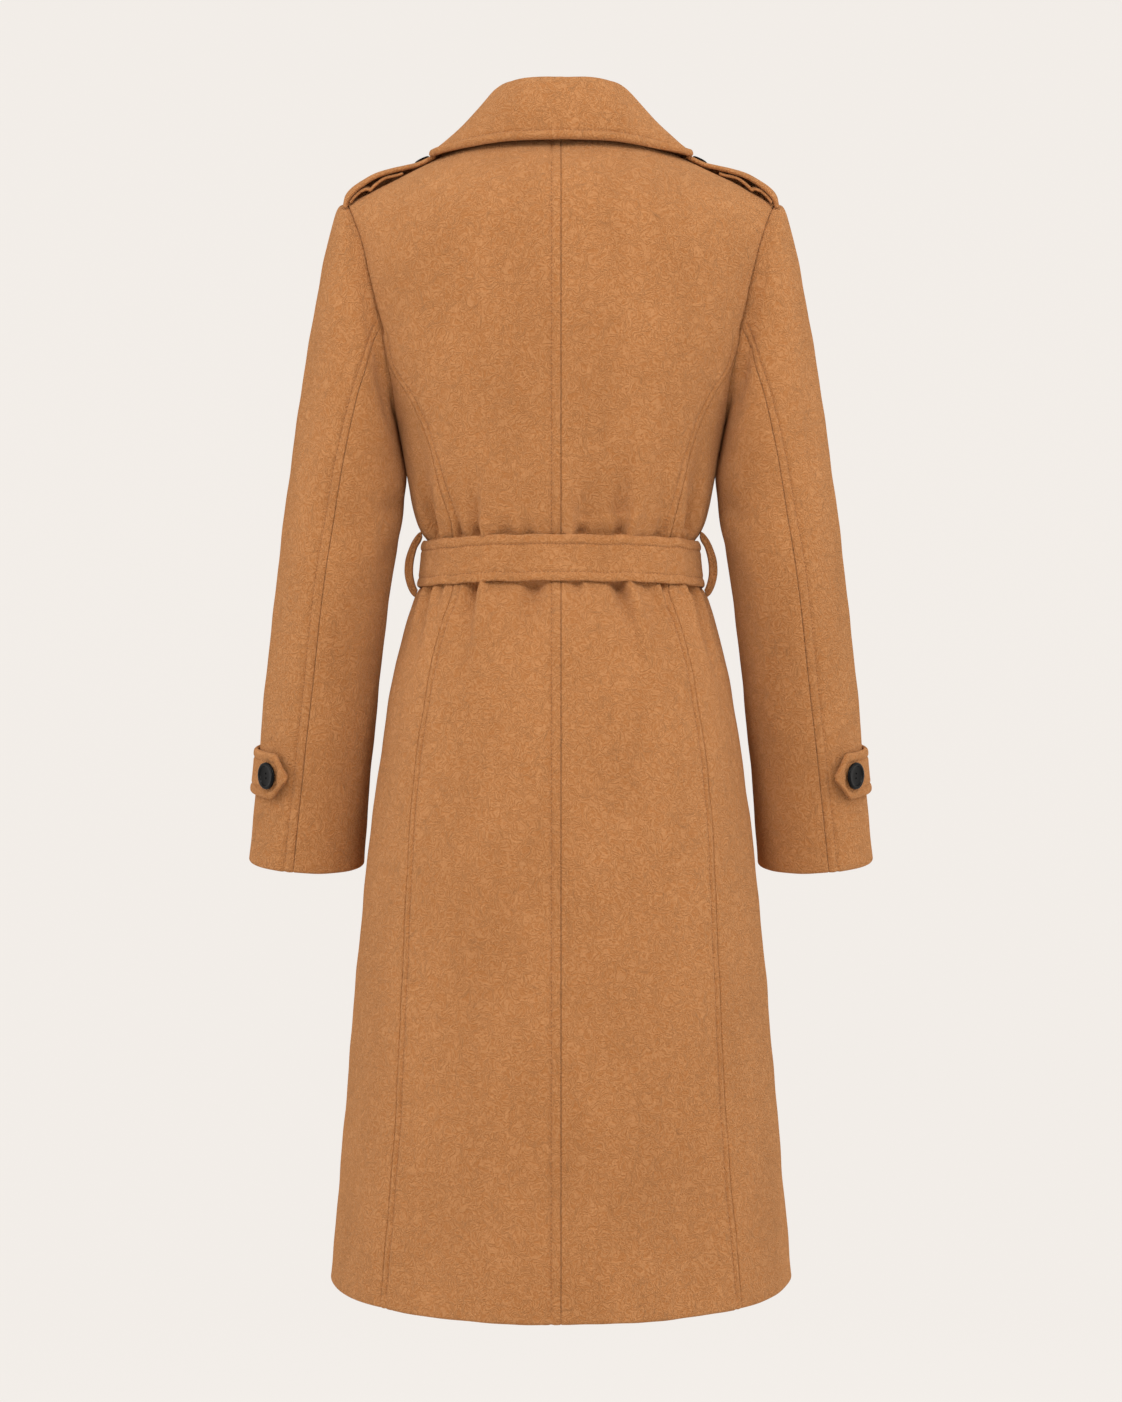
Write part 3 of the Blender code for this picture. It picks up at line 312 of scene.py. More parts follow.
# Creases of the sleeve: degrees round it, place along it, how far each spreads in both, its slant in degrees
# for each ring, and its height.
CREASES = columns("angle step wide long slant height", (
    (60, 1.3, 16, 0.9, -14, -0.0016),
    (130, 2.2, 20, 1.1, 6, -0.0032),
    (78, 3.4, 20, 1.1, 12, -0.0018),
    (135, 4.2, 18, 0.9, -22, -0.0026),
    (40, 5.0, 16, 0.8, 20, -0.0012),
    (150, 5.3, 16, 0.5, -40, -0.0028),
    (110, 5.9, 26, 0.6, -38, -0.0022),
    (165, 6.3, 20, 0.5, -36, -0.0026),
    (65, 6.9, 18, 1.0, 12, 0.0016),
    (120, 7.5, 22, 0.8, -26, -0.0018),
    (35, 8.0, 15, 0.9, 8, -0.0014),
    (-40, 5.6, 20, 0.6, 30, -0.0026),
    (-75, 6.1, 26, 0.5, 34, -0.0030),
    (-110, 5.5, 20, 0.5, 30, -0.0028),
    (-60, 3.0, 22, 1.1, -14, -0.0020),
    (-20, 7.6, 18, 1.0, -10, -0.0016),
    (-95, 7.9, 22, 0.8, 14, -0.0018),
))

# The collar from the middle of the back to its front end: its seam on the neck, its fold and its free edge.
COLLAR = columns("base_x base_y base_z fold_x fold_y fold_z edge_x edge_y edge_z bulge", (
    (0.0000, 0.0605, -0.0110, 0.0000, 0.0605, 0.0428, 0.0000, 0.0755, -0.0118, 0.0050),
    (0.0330, 0.0550, -0.0092, 0.0320, 0.0550, 0.0428, 0.0480, 0.0705, -0.0129, 0.0045),
    (0.0595, 0.0395, -0.0055, 0.0530, 0.0370, 0.0388, 0.0870, 0.0525, -0.0160, 0.0020),
    (0.0740, 0.0155, -0.0010, 0.0650, 0.0090, 0.0280, 0.1185, 0.0290, -0.0180, -0.0018),
    (0.0735, -0.0130, 0.0030, 0.0710, -0.0190, 0.0155, 0.1212, -0.0140, -0.0158, -0.0022),
    (0.0695, -0.0385, -0.0045, 0.0710, -0.0480, 0.0010, 0.1290, -0.0520, -0.0420, -0.0010),
    (0.0560, -0.0745, -0.0290, 0.0600, -0.0860, -0.0260, 0.1270, -0.0880, -0.0810, 0.0020),
))
COLLAR_HALF_THICKNESS = 0.0016
COLLAR_PUFF = 0.0018  # how much the fall's turned edge swells on each face

# The lapel's outline on the front panel, from the break up to the notch, and the roll line beside it.
LAPEL = columns("roll_z outer_x outer_z", (
    (-0.2640, -0.0720, -0.2640),
    (-0.2300, -0.0200, -0.2330),
    (-0.1900, 0.0420, -0.1910),
    (-0.1500, 0.0950, -0.1520),
    (-0.1100, 0.1330, -0.1160),
    (-0.0720, 0.1190, -0.0930),
    (-0.0400, 0.1010, -0.0730),
))

# The shoulder strap's heights above the cloth, and those of its lower ply, which hangs in waves beneath it.
STRAP = columns("x height", (
    (0.1965, 0.0012),
    (0.1950, 0.0050),
    (0.1900, 0.0078),
    (0.1820, 0.0092),
    (0.1700, 0.0098),
    (0.1560, 0.0072),
    (0.1440, 0.0040),
    (0.1300, 0.0005),
    (0.1140, 0.0002),
))
STRAP_THICKNESS = 0.0042
STRAP_HALF_WIDTH = 0.021
STRAP_BUTTON_X = 0.1262
LOWER_PLY = columns("x height", (
    (0.1925, 0.0006),
    (0.1895, 0.0026),
    (0.1840, 0.0042),
    (0.1790, 0.0034),
    (0.1750, 0.0006),
    (0.1700, 0.0026),
    (0.1625, 0.0042),
    (0.1560, 0.0028),
    (0.1500, 0.0010),
    (0.1450, 0.0002),
))
LOWER_PLY_THICKNESS = 0.0029
LOWER_PLY_HALF_WIDTH = 0.0195

# A belt loop's outer and inner faces, from its top end to its lower one.
BELT_LOOP = columns("outer_x outer_z inner_x inner_z", (
    (0.1292, -0.3620, 0.1284, -0.3672),
    (0.1330, -0.3648, 0.1298, -0.3712),
    (0.1377, -0.3715, 0.1331, -0.3768),
    (0.1414, -0.3800, 0.1352, -0.3838),
    (0.1438, -0.3880, 0.1364, -0.3898),
    (0.1447, -0.3960, 0.1370, -0.3960),
    (0.1444, -0.4035, 0.1369, -0.4025),
    (0.1422, -0.4125, 0.1356, -0.4090),
    (0.1388, -0.4195, 0.1340, -0.4138),
    (0.1352, -0.4230, 0.1328, -0.4160),
))
BELT_LOOP_HALF_WIDTH = 0.005

# Half of the loop's section: its two folded layers part at the edge, where the stitching draws the middle in.
LOOP_EDGE = columns("place out thickness", (
    (0.00, 0.00, 1.00),
    (0.50, 0.62, 1.00),
    (0.72, 0.90, 0.88),
    (0.84, 1.00, 0.64),
    (0.92, 0.98, 0.38),
    (1.00, 0.80, 0.10),
))

TAB_START = -62.0  # degrees round the sleeve
TAB_END = 70.0
TAB_RING = 9.08
RING_SPACING = 0.0905
TAB_HALF_WIDTH = 0.0215
TAB_THICKNESS = 0.0040
TAB_POINT = 0.013
TAB_BUTTON = 48.0
TAB_LIFT = 0.0065  # how far its point stands off the sleeve
TAB_LIFT_START = 20.0
TAB_POINT_TURN = 22  # degrees of the pointed end
TAB_RADIUS = 0.0475  # of the sleeve beneath it
TAB_POINT_SLOPE = 0.62  # the way to the point's slanting edges, as a share of the way to its tip

FRONT_BUTTON_X = 0.055
FRONT_BUTTON_HEIGHTS = (-0.305, -0.485)

# ---- sizes of the finish ----

STITCH_LINE = 0.0086  # from a seam to its topstitching
SKIRT_STITCH_SHARE = 0.66  # of that, down the skirt's curved seams
BODICE_STITCH_SHARE = 0.80
SEAM_DEPTH = 0.0018  # how far a seam is drawn in, over its roll
SEAM_ROLL = 0.0013
SEAM_SLUMP = 0.00022  # softly sunk cloth on both sides of a seam
SEAM_SLUMP_WIDTH = 0.004
ARMHOLE_DEPTH = 0.0023  # at the shoulder, where the armhole's seam is shallow
ARMHOLE_ROLL = 0.0030
ARMHOLE_CREVICE = 0.0009  # half the width of the crevice where the sleeve folds over the back
UNDERARM_DEPTH = 0.0072
UNDERARM_ROLL = 0.0052
ARMHOLE_DEEPENS_Z = -0.090  # the seam gets deeper from here, over a height of its own
ARMHOLE_DEEPENS_OVER = 0.110
STITCH_DEPTH = 0.00105
STITCH_REACH = 0.0008  # a stitch points the way that its seam runs over this distance on both sides
FRONT_EDGE_ROUND = 0.0022
FRONT_EDGE_DROP = 0.0014
BAND_ROUND = 0.0024  # radius of a turned strip's edge
BAND_GROOVE = 0.00090
BAND_THINNEST = 0.00006
STRAP_PUFF = 0.0003  # how much a turned edge swells on each face
LAPEL_PUFF = 0.0003
TAB_PUFF = 0.0008
BELT_PUFF = 0.0011
HEM_TURN = 0.026  # cloth turned up inside the hem and the cuffs
HEM_FOLD = 1.08 * WALL  # from the last row above the hem's fold to the fold's lowest edge
HEM_FOLD_RADIUS = 0.58 * WALL
HEM_SEAM_SHARE = 0.42  # of a seam's relief is left at the hem, where it crosses the turned cloth
HEM_SEAM_FADE = 0.012
ROLL_WIDTH = 0.8  # a lapel's fold is narrower than it is deep
ROLL_TURN = 0.96 * math.pi
SHARP_ANGLE = 50
COLUMN_LIMIT = 0.92  # the set distances beside a row's seams take no more of it than this share
BESIDE_STITCHED = (0, 0.00012, 0.0004, 0.0009, 0.0015, 0.0022, 0.0032, 0.0048, 0.0066, 0.0078, STITCH_LINE,
                   0.0095, 0.0108, 0.0128)
BESIDE_PLAIN = (0, 0.00012, 0.0004, 0.0009, 0.0015, 0.0022, 0.0032, 0.0048, 0.0070, 0.0100)
BESIDE_BAND = (0, 0.00012, 0.0004, 0.0009, 0.0016, 0.0025, 0.0038, 0.0054, 0.0068, 0.0078, STITCH_LINE,
               0.0094, 0.0106, 0.0122)
BAND_COLUMNS = 0.004  # mesh width of the turned strips
COLLAR_COLUMNS = 0.0036
LAPEL_COLUMNS = 0.005

# The relief beside a topstitched seam: the stitches' groove, with puffed cloth on each side of it. Heights
# are shares of the groove's depth.
STITCH_RELIEF = columns("distance width height", (
    (STITCH_LINE, 0.0017, -1.00),
    (0.0045, 0.0022, 0.45),
    (0.0125, 0.0025, 0.35),
))

# A stitch's rings: places along it, shares of the thread's thickness, and rises in thread radii.
STITCH_RINGS = columns("place share rise", (
    (-0.50, 0.0, -0.75),
    (-0.26, 0.8, 0.05),
    (0.00, 1.0, 0.25),
    (0.26, 0.8, 0.05),
    (0.50, 0.0, -0.75),
))

# Stretches of mesh rows from the hem up to a panel's top: where each starts, and its share of the row
# spacing.
ROW_STRETCHES = columns("z share", (
    (HEM_Z + HEM_FOLD, 1.00),
    (-0.5200, 0.60),
    (-0.4235, 0.26),
    (-0.4065, 0.90),
    (-0.3760, 0.26),
    (-0.3590, 0.55),
    (-0.3200, 0.80),
))

# A button's outline below its rim and inside it, as shares of its radius and of its thickness or its rim.
BUTTON_BACK = columns("radius height", (
    (0.00, 0.00),
    (0.80, 0.00),
    (0.93, 0.06),
))
BUTTON_DISH = columns("radius below_rim", (
    (0.70, 0.80),
    (0.64, 0.93),
    (0.40, 1.10),
    (0.18, 1.15),
    (0.00, 1.15),
))
BUTTON_THICKNESS = 0.28  # of its radius
HOLE_PLACE = 0.17
HOLE_RADIUS = 0.075

UPRIGHT_CLOUDS = (1.0, 1.0, 0.4)  # scales the wool's clouds of colour, which are taller than wide
DARK_CLOUD = (0.93, 0.92, 0.91)  # what the clouds multiply the wool's colour by
LIGHT_CLOUD = (1.045, 1.05, 1.06)
FELT_SHARE = 0.7  # of the swirls in the felt, beside all of the grain
COMBED_LINES = 54.0  # how closely the combed strands follow each other
COMBED_SHARE = 0.19

# ---- sizes of the studio ----

MIDDLE_Z = -0.55
FLOOR_Z = -1.75
BACKDROP_RADIUS = 5.2
BACKDROP_BEND = 1.6
BACKDROP_TOP_Z = 3.4
SOFT_WHITE = (1.0, 0.985, 0.975)
WARM_WHITE = (1.0, 0.985, 0.965)
ROOM_WHITE = (1.0, 0.99, 0.98)

# The lights: name, place, the height that each points at, its size, the setting that holds its power and the
# share of it that it gets, and its tint.
LIGHTS = (
    ("right_softbox", (-1.2, 2.3, 1.6), -0.35, (1.0, 1.3), "front", 1.00, SOFT_WHITE),
    ("left_softbox", (1.2, 2.3, 1.6), -0.35, (1.0, 1.3), "front", 0.85, SOFT_WHITE),
    ("top_softbox", (0, 0.9, 2.2), MIDDLE_Z, (2.4, 1.6), "top", 1.00, ROOM_WHITE),
    ("right_fill", (-2.6, 0.7, 0.1), MIDDLE_Z, (1.4, 1.8), "fill", 1.00, WARM_WHITE),
    ("left_fill", (2.6, 0.7, 0.1), MIDDLE_Z, (1.4, 1.8), "fill", 1.00, WARM_WHITE),
    ("far_softbox", (-0.9, -2.6, 1.3), MIDDLE_Z, (1.4, 1.6), "far", 1.00, ROOM_WHITE),
)


# ---- settings ----


def length(name, description, default):
    return FloatProperty(name=name, description=description, default=default, min=0, subtype="DISTANCE",
                         unit="LENGTH", precision=5)


def share(name, description, default):
    return FloatProperty(name=name, description=description, default=default, min=0, soft_max=1)


def power(name, description, default):
    return FloatProperty(name=name, description=description, default=default, min=0, unit="POWER")


def colour(name, description, default):
    return FloatVectorProperty(name=name, description=description, default=default, size=3, min=0, max=1,
                               subtype="COLOR")


class CoatCloth(bpy.types.PropertyGroup):
    """The wool."""

    # The dark strand colour sits in the hollows between the raised strands and the light one on them. Besides
    # the wool's own uneven tone, they are painted shade in the nap's hollows and painted light on its ridges.
    dark: colour("Dark strands", "Colour between the wool's raised strands", (0.437, 0.173, 0.055))
    light: colour("Light strands", "Colour of the wool's raised strands", (0.564, 0.266, 0.109))
    strand: length("Strand width", "Width of the brushed wool's small swirls", 0.0021)
    nap: length("Nap depth", "How far the small swirls stand up", 0.0020)
    mottle: length("Mottle width", "Width of the wool's soft clouds of colour", 0.05)
    sheen: share("Sheen", "How much light the nap catches at a glancing angle", 0.22)
    column_spacing: length("Mesh width", "Width of the cloth's mesh between its seams", 0.0055)
    row_spacing: length("Mesh height", "Height of the cloth's mesh rows", 0.0048)


class CoatSewing(bpy.types.PropertyGroup):
    """The topstitching."""

    thread: colour("Thread", "Colour of the sewing thread", (0.360, 0.155, 0.060))
    pitch: length("Stitch pitch", "From one stitch to the next", 0.0036)
    stitch: length("Stitch length", "Visible length of a stitch", 0.0026)
    radius: length("Thread radius", "Half of the thread's thickness", 0.00033)


class CoatTrim(bpy.types.PropertyGroup):
    """The buttons and the buckle."""

    plastic: colour("Plastic", "Colour of the buttons and the buckle", (0.0026, 0.0026, 0.0028))
    gloss: share("Roughness", "Roughness of the polished plastic", 0.11)
    rim: length("Button rim", "How far a button's rim stands above its dished face", 0.0013)


class CoatStudio(bpy.types.PropertyGroup):
    """The camera, the lights and the backdrop."""

    distance: length("Camera distance", "From the camera to the middle of the coat", 3.0)
    height: FloatProperty(name="Camera height", description="Height of the level camera", default=-0.519,
                          subtype="DISTANCE", unit="LENGTH")
    view_height: length("View height", "Height that the picture takes in at the coat", 1.2981)
    paper: colour("Backdrop", "Colour of the paper backdrop", (0.100, 0.098, 0.096))
    glow: colour("Backdrop glow", "Colour of the light through the backdrop", (1.0, 0.955, 0.910))
    glow_strength: share("Backdrop light", "Strength of the light through the backdrop", 0.80)
    ambient: share("Room light", "Strength of the even light from above the backdrop", 0.45)
    front: power("Side lights", "Power of each large soft light beside the camera", 33.0)
    top: power("Top light", "Power of the soft light overhead", 13.0)
    fill: power("Fill lights", "Power of the soft light at each side of the coat", 20.0)
    far: power("Far light", "Power of the soft light on the side away from the camera", 22.0)
    segments: IntProperty(name="Button segments", description="Steps round a button", default=72, min=16)


# ---- curves and surfaces ----


def through(at, values, x):
    """Values at x on a smooth curve through rows of values. It works on whole arrays."""
    order = np.argsort(at)
    at = np.asarray(at, float)[order]
    values = np.asarray(values, float)[order]
    x = np.clip(x, at[0], at[-1])
    upright = (-1,) + (1,) * (values.ndim - 1)
    step = np.diff(at)
    rise = np.diff(values, axis=0) / step.reshape(upright)
    before = step[:-1].reshape(upright)
    after = step[1:].reshape(upright)
    slope = np.empty_like(values)
    slope[0] = rise[0]
    slope[-1] = rise[-1]
    slope[1:-1] = (after * rise[:-1] + before * rise[1:]) / (before + after)
    k = np.clip(np.searchsorted(at, x, side="right") - 1, 0, len(at) - 2)
    width = step[k]
    t = (x - at[k]) / width
    wider = np.shape(t) + (1,) * (values.ndim - 1)
    t, width = np.reshape(t, wider), np.reshape(width, wider)
    return (
        (1 + 2 * t) * (1 - t) ** 2 * values[k]
        + t * (1 - t) ** 2 * width * slope[k]
        + t * t * (3 - 2 * t) * values[k + 1]
        - t * t * (1 - t) * width * slope[k + 1]
    )


def along(table, column, z):
    return through(table["z"], table[column], z)


def rows_through(table, count):
    """Rows on a smooth curve through all of a table's rows, evenly from its first to its last."""
    values = np.stack(list(table.values()), axis=-1)
    return through(np.arange(len(values)), values, np.linspace(0, len(values) - 1, count))


def along_rings(rings, step):
    """Points on smooth lines through evenly numbered rings, each at its own step."""
    slope = np.gradient(rings, axis=0)
    k = np.clip(np.floor(step).astype(int), 0, len(rings) - 2)
    t = (step - k)[..., None]

    def pick(values, ring):
        return np.take_along_axis(values, ring[None, ..., None], axis=0)[0]

    return (
        (1 + 2 * t) * (1 - t) ** 2 * pick(rings, k)
        + t * (1 - t) ** 2 * pick(slope, k)
        + t * t * (3 - 2 * t) * pick(rings, k + 1)
        - t * t * (1 - t) * pick(slope, k + 1)
    )


def ridge_z(x):
    return through(RIDGE["x"], RIDGE["z"], np.abs(x))


def ease(t):
    t = np.clip(t, 0, 1)
    return t * t * (3 - 2 * t)


def bump(t):
    return np.exp(-(t**2))


def unit(vectors):
    return vectors / np.linalg.norm(vectors, axis=-1, keepdims=True)


def reach(z, back):
    """How far the body's full section reaches from the middle plane, to the back or the front."""
    return np.where(back, along(BODY, "back", z), along(BODY, "front", z))


def shoulder_drop(back):
    return np.where(back, BACK_SHOULDER_DROP, FRONT_SHOULDER_DROP)


def below_ridge(x, z, back):
    """0 on the shoulder line, and 1 where the body has its full depth."""
    return (ridge_z(x) - z) / shoulder_drop(back)


def angle_at(x, z):
    """The angle, in radians, where the body's section at height z passes x. 0 is the side seam."""
    part = np.clip(x / along(BODY, "half_width", z), -1, 1)
    return np.arccos(np.sign(part) * np.abs(part) ** (along(BODY, "roundness", z) / 2))


def body_base(angle, z):
    """The body's surface without folds. Positive angles are the back, negative ones the front."""
    power = 2 / along(BODY, "roundness", z)
    x = along(BODY, "half_width", z) * np.sign(np.cos(angle)) * np.abs(np.cos(angle)) ** power
    back = angle >= 0
    t = np.clip(below_ridge(x, z, back), 0, 1)
    y = reach(z, back) * np.abs(np.sin(angle)) ** power * np.sqrt(t * (2 - t))
    y = np.where(back, 1, -1) * np.maximum(y, SEAM_GAP / 2)
    return np.stack([x, y, z + 0 * x], axis=-1)


def body_level(x, y, z, back, near_ridge):
    """A quantity that is 0 on the body's surface and grows outwards."""
    roundness = along(BODY, "roundness", z)
    part = np.abs(x / along(BODY, "half_width", z)) ** roundness
    full = reach(z, back)
    t = below_ridge(x, z, back)
    domed = (y / full) ** 2 - np.maximum(1 - part, 0) ** (2 / roundness) * t * (2 - t)
    upright = part + np.abs(y / full) ** roundness - 1
    return np.where(near_ridge, domed, upright)


def body_normal(point):
    """The direction straight out of the body's surface."""
    x, y, z = np.moveaxis(point, -1, 0)
    back = y >= 0
    near_ridge = below_ridge(x, z, back) < 1
    slopes = []
    for move in np.eye(3) * SLOPE_STEP:
        higher = body_level(x + move[0], y + move[1], z + move[2], back, near_ridge)
        lower = body_level(x - move[0], y - move[1], z - move[2], back, near_ridge)
        slopes.append(higher - lower)
    return unit(np.stack(slopes, axis=-1))


def folds(angle, z):
    """How far the folds move the cloth out at each place."""
    degrees = np.degrees(angle)
    total = np.zeros(np.broadcast(degrees, z).shape)
    for middle, lean, width, start_z, end_z, height, pinch, skew in zip(*FOLDS.values()):
        run = (z - start_z) / (end_z - start_z)
        aside = (degrees - middle - lean * run + 180) % 360 - 180
        if end_z < HEM_Z:
            depth = height * ease(run * FOLD_FADE)
            spread = width
        else:
            inside_belt = ease(1 + (z - start_z) / np.sign(end_z - start_z) / BELT_PRESS)
            pinched = pinch * np.exp(-np.abs(z - start_z) / PINCH_LENGTH)
            depth = inside_belt * (height * np.clip(1 - run, 0, 1) ** FOLD_FADE + pinched)
            depth = np.where((run > -0.6) & (run < 1), depth, 0)
            spread = width * (FOLD_START_WIDTH + FOLD_GAIN * np.clip(run, 0, 1))
        t = aside / spread
        steep = np.where(t * skew > 0, 1 - 0.62 * abs(skew), 1 + 0.5 * abs(skew))
        total += depth * (bump(t / steep) - 0.45 * abs(skew) * bump((t - np.sign(skew) * 1.1) / 0.8))
    return total


def ripple(point):
    """Slight unevenness of the cloth, over palm-sized areas."""
    x, y, z = np.moveaxis(point, -1, 0)
    slow = np.sin(52 * x + 19 * z + 0.7) * np.sin(31 * z - 23 * y + 1.1)
    slow = slow + 0.6 * np.sin(83 * z + 47 * x - 29 * y)
    quick = np.sin(133 * x - 71 * z + 59 * y + 2.0) * np.sin(97 * z + 61 * x + 0.4)
    return SLOW_RIPPLE * slow + QUICK_RIPPLE * quick


def body_surface(angle, z, lift=0.0):
    """Points and outward directions of the coat's outer face, moved out by lift."""
    rise = HEM_RISE * np.cos(angle) ** 4 * ease((z - HEM_RISE_TOP_Z) / (HEM_Z - HEM_RISE_TOP_Z))
    base = body_base(angle, z + rise)
    normal = body_normal(base)
    return base + normal * (folds(angle, z) + lift)[..., None], normal


def facing(angle, z, side, lift=0.0):
    """The body's surface where a piece's own angles are counted from the wearer's left or right side."""
    if side > 0:
        return body_surface(angle, z, lift)
    turned = np.where(angle >= 0, math.pi - angle, -math.pi - angle)
    return body_surface(turned, z, lift)


def shoulder_fall(x, y):
    """How far the shoulder's cloth is below the shoulder line at a distance y from it."""
    z = ridge_z(x)
    back = y >= 0
    roundness = along(BODY, "roundness", z)
    full = reach(z, back) * (1 - (x / along(BODY, "half_width", z)) ** roundness) ** (1 / roundness)
    return shoulder_drop(back) * (1 - np.sqrt(1 - np.minimum(np.abs(y) / full, 1) ** 2))


def armhole_z(beta):
    return ARMHOLE_MIDDLE_Z + (SHOULDER_POINT_Z - ARMHOLE_MIDDLE_Z) * np.cos(beta)


def armhole(beta):
    """The armhole's edge. Beta is 0 at the shoulder, 90 at the back and 180 degrees at the underarm."""
    z = armhole_z(beta)
    back = np.sin(beta) >= 0
    x = np.where(back, along(ARMHOLE, "back_x", z), along(ARMHOLE, "front_x", z))
    base = body_base(angle_at(x, z) * np.where(back, 1, -1), z)
    return base, body_normal(base)


# ---- grids of cloth ----


def run_lengths(points, axis):
    """How far each point of a grid lies along its row (axis 1) or its column (axis 0)."""
    steps = np.linalg.norm(np.diff(points, axis=axis), axis=-1)
    start = np.zeros_like(np.take(steps, [0], axis=axis))
    return np.concatenate([start, np.cumsum(steps, axis=axis)], axis=axis)


def across_row(count):
    """Evenly spaced shares of a row, from its start to its end."""
    return np.linspace(0, 1, count)[None, :]


def spaced(points, near, far, spacing, far_scale=1.0):
    """Columns at set distances from the two ends of each row, and evenly between them.

    Points are evenly spaced samples of each row. Returns the columns' places as shares of the samples, and
    their distances from the start and the end. A row's distances from its end are all scaled by its
    far_scale, and that scale is left out of the distances returned."""
    samples = np.linspace(0, 1, points.shape[1])
    run = run_lengths(points, 1)
    total = run[:, -1:]
    near, far = np.array(near)[None], np.array(far)[None]
    far_scale = far_scale * np.ones_like(total)
    tight = np.minimum(1, COLUMN_LIMIT * total / (near[:, -1:] + far[:, -1:] * far_scale))
    far_scale = far_scale * tight
    first = near * tight
    last = total - (far * far_scale)[:, ::-1]
    count = max(2, int(total.max() / spacing))
    even = np.linspace(0, 1, count + 2)[1:-1]
    middle = first[:, -1:] * (1 - even) + last[:, :1] * even
    wanted = np.concatenate([first, middle, last], axis=1)
    shares = np.array([np.interp(row, at, samples) for row, at in zip(wanted, run)])
    return shares, wanted / tight, (total - wanted) / far_scale


def rounded(distance, radius):
    """The share of its half thickness that a rounded edge has left at a distance from it."""
    part = np.clip(distance / radius, 0, 1)
    return np.sqrt(np.maximum(1 - (1 - part) ** 2, 0))


def seam_profile(distance, depth=SEAM_DEPTH, roll=SEAM_ROLL, stitched=1.0):
    """How far the cloth's face lies off its smooth surface beside a seam, which is rolled in and stitched."""
    rolled = -depth * (1 - rounded(distance, roll))
    slumped = -SEAM_SLUMP * bump(distance / SEAM_SLUMP_WIDTH)
    sewn = 0
    for place, width, height in zip(*STITCH_RELIEF.values()):
        sewn = sewn + height * bump((distance - place) / width)
    return rolled + slumped + stitched * STITCH_DEPTH * sewn


def hem_share(distance):
    """How much of a seam's relief is left where the hem's turned cloth lies beneath it."""
    return HEM_SEAM_SHARE + (1 - HEM_SEAM_SHARE) * ease(distance / HEM_SEAM_FADE)


def banded(distance, half, puff):
    """Half the thickness of a turned and topstitched strip, at a distance from its edge."""
    full = half + puff * bump((distance - 0.5 * STITCH_LINE) / (0.42 * STITCH_LINE))
    full = full - BAND_GROOVE * bump((distance - STITCH_LINE) / 0.0011)
    full = full + 0.00015 * bump((distance - 1.4 * STITCH_LINE) / 0.002)
    return np.maximum(full * rounded(distance, BAND_ROUND), BAND_THINNEST)


def turned_end(point, normal, onward, relief):
    """Rows that take a panel's end round a fold and back inside it."""
    radius = HEM_FOLD_RADIUS
    centre = point - normal * (WALL / 2 + radius)
    outer, inner = [], []
    for phi in np.linspace(0, math.pi, 8)[1:]:
        out = normal * math.cos(phi) + onward * math.sin(phi)
        outer.append(centre + out * (radius + WALL / 2 + relief)[..., None])
        inner.append(centre + out * (radius - WALL / 2))
    for run in (0.006, 0.5 * HEM_TURN, HEM_TURN):
        base = centre - onward * run
        outer.append(base - normal * (radius + WALL / 2 + np.maximum(relief, -0.001))[..., None])
        inner.append(base - normal * (radius - WALL / 2))
    return np.array(outer), np.array(inner)


def armhole_profile(distance, z):
    """The relief beside the armhole's seam, which is drawn in further towards the underarm."""
    under = ease((ARMHOLE_DEEPENS_Z - z) / ARMHOLE_DEEPENS_OVER)
    depth = ARMHOLE_DEPTH + (UNDERARM_DEPTH - ARMHOLE_DEPTH) * under
    roll = ARMHOLE_ROLL + (UNDERARM_ROLL - ARMHOLE_ROLL) * under
    away = np.maximum(distance - ARMHOLE_CREVICE * under, 0)
    return seam_profile(away, depth, roll, stitched=0.0)


def behind(relief, wall=WALL):
    """How far the cloth's inner face lies behind its smooth surface, which is further beside a deep seam."""
    return np.maximum(wall, 0.0007 - relief)


# ---- meshes ----


def wall_faces(rows, across):
    """Faces of a wall whose outer points come first and inner points second, row by row."""
    grid = np.arange(rows * across).reshape(rows, across)
    a, b, c, d = grid[:-1, :-1], grid[:-1, 1:], grid[1:, 1:], grid[1:, :-1]
    face = np.stack([a, b, c, d], axis=-1).reshape(-1, 4)
    inside = face[:, ::-1] + rows * across
    rims = []
    for line in (grid[0, ::-1], grid[-1], grid[:, 0], grid[::-1, -1]):
        start, end = line[:-1], line[1:]
        rims.append(np.stack([start, end, end + rows * across, start + rows * across], axis=-1))
    return np.concatenate([face, inside, *rims])


def show(name, data):
    """A new object in the scene for a mesh, a light or a camera."""
    made = bpy.data.objects.new(name, data)
    bpy.context.scene.collection.objects.link(made)
    return made


def new_object(name, mesh, look):
    """A mesh's object, in one material."""
    mesh.materials.append(look)
    return show(name, mesh)


def mesh_of(name, points, faces, sharp=SHARP_ANGLE):
    mesh = bpy.data.meshes.new(name)
    mesh.from_pydata(points.reshape(-1, 3).tolist(), [], faces)
    mesh.validate()
    mesh.shade_smooth()
    if sharp:
        mesh.set_sharp_from_angle(angle=math.radians(sharp))
    return mesh


def add_wall(name, outer, inner, look):
    """A closed wall of cloth between two grids of points, with its faces looking out."""
    rows, across = outer.shape[:2]
    faces = wall_faces(rows, across)
    turn = np.cross(outer[1:, :-1] - outer[:-1, :-1], outer[:-1, 1:] - outer[:-1, :-1])
    if np.sum(turn * (outer - inner)[:-1, :-1]) > 0:
        faces = faces[:, ::-1]
    points = np.concatenate([outer.reshape(-1, 3), inner.reshape(-1, 3)])
    return new_object(name, mesh_of(name, points, faces.tolist()), look)


def face_out(mesh, shape):
    """Turns a closed shape's faces out, writes it to the mesh and frees it."""
    bmesh.ops.recalc_face_normals(shape, faces=shape.faces)
    shape.to_mesh(mesh)
    shape.free()


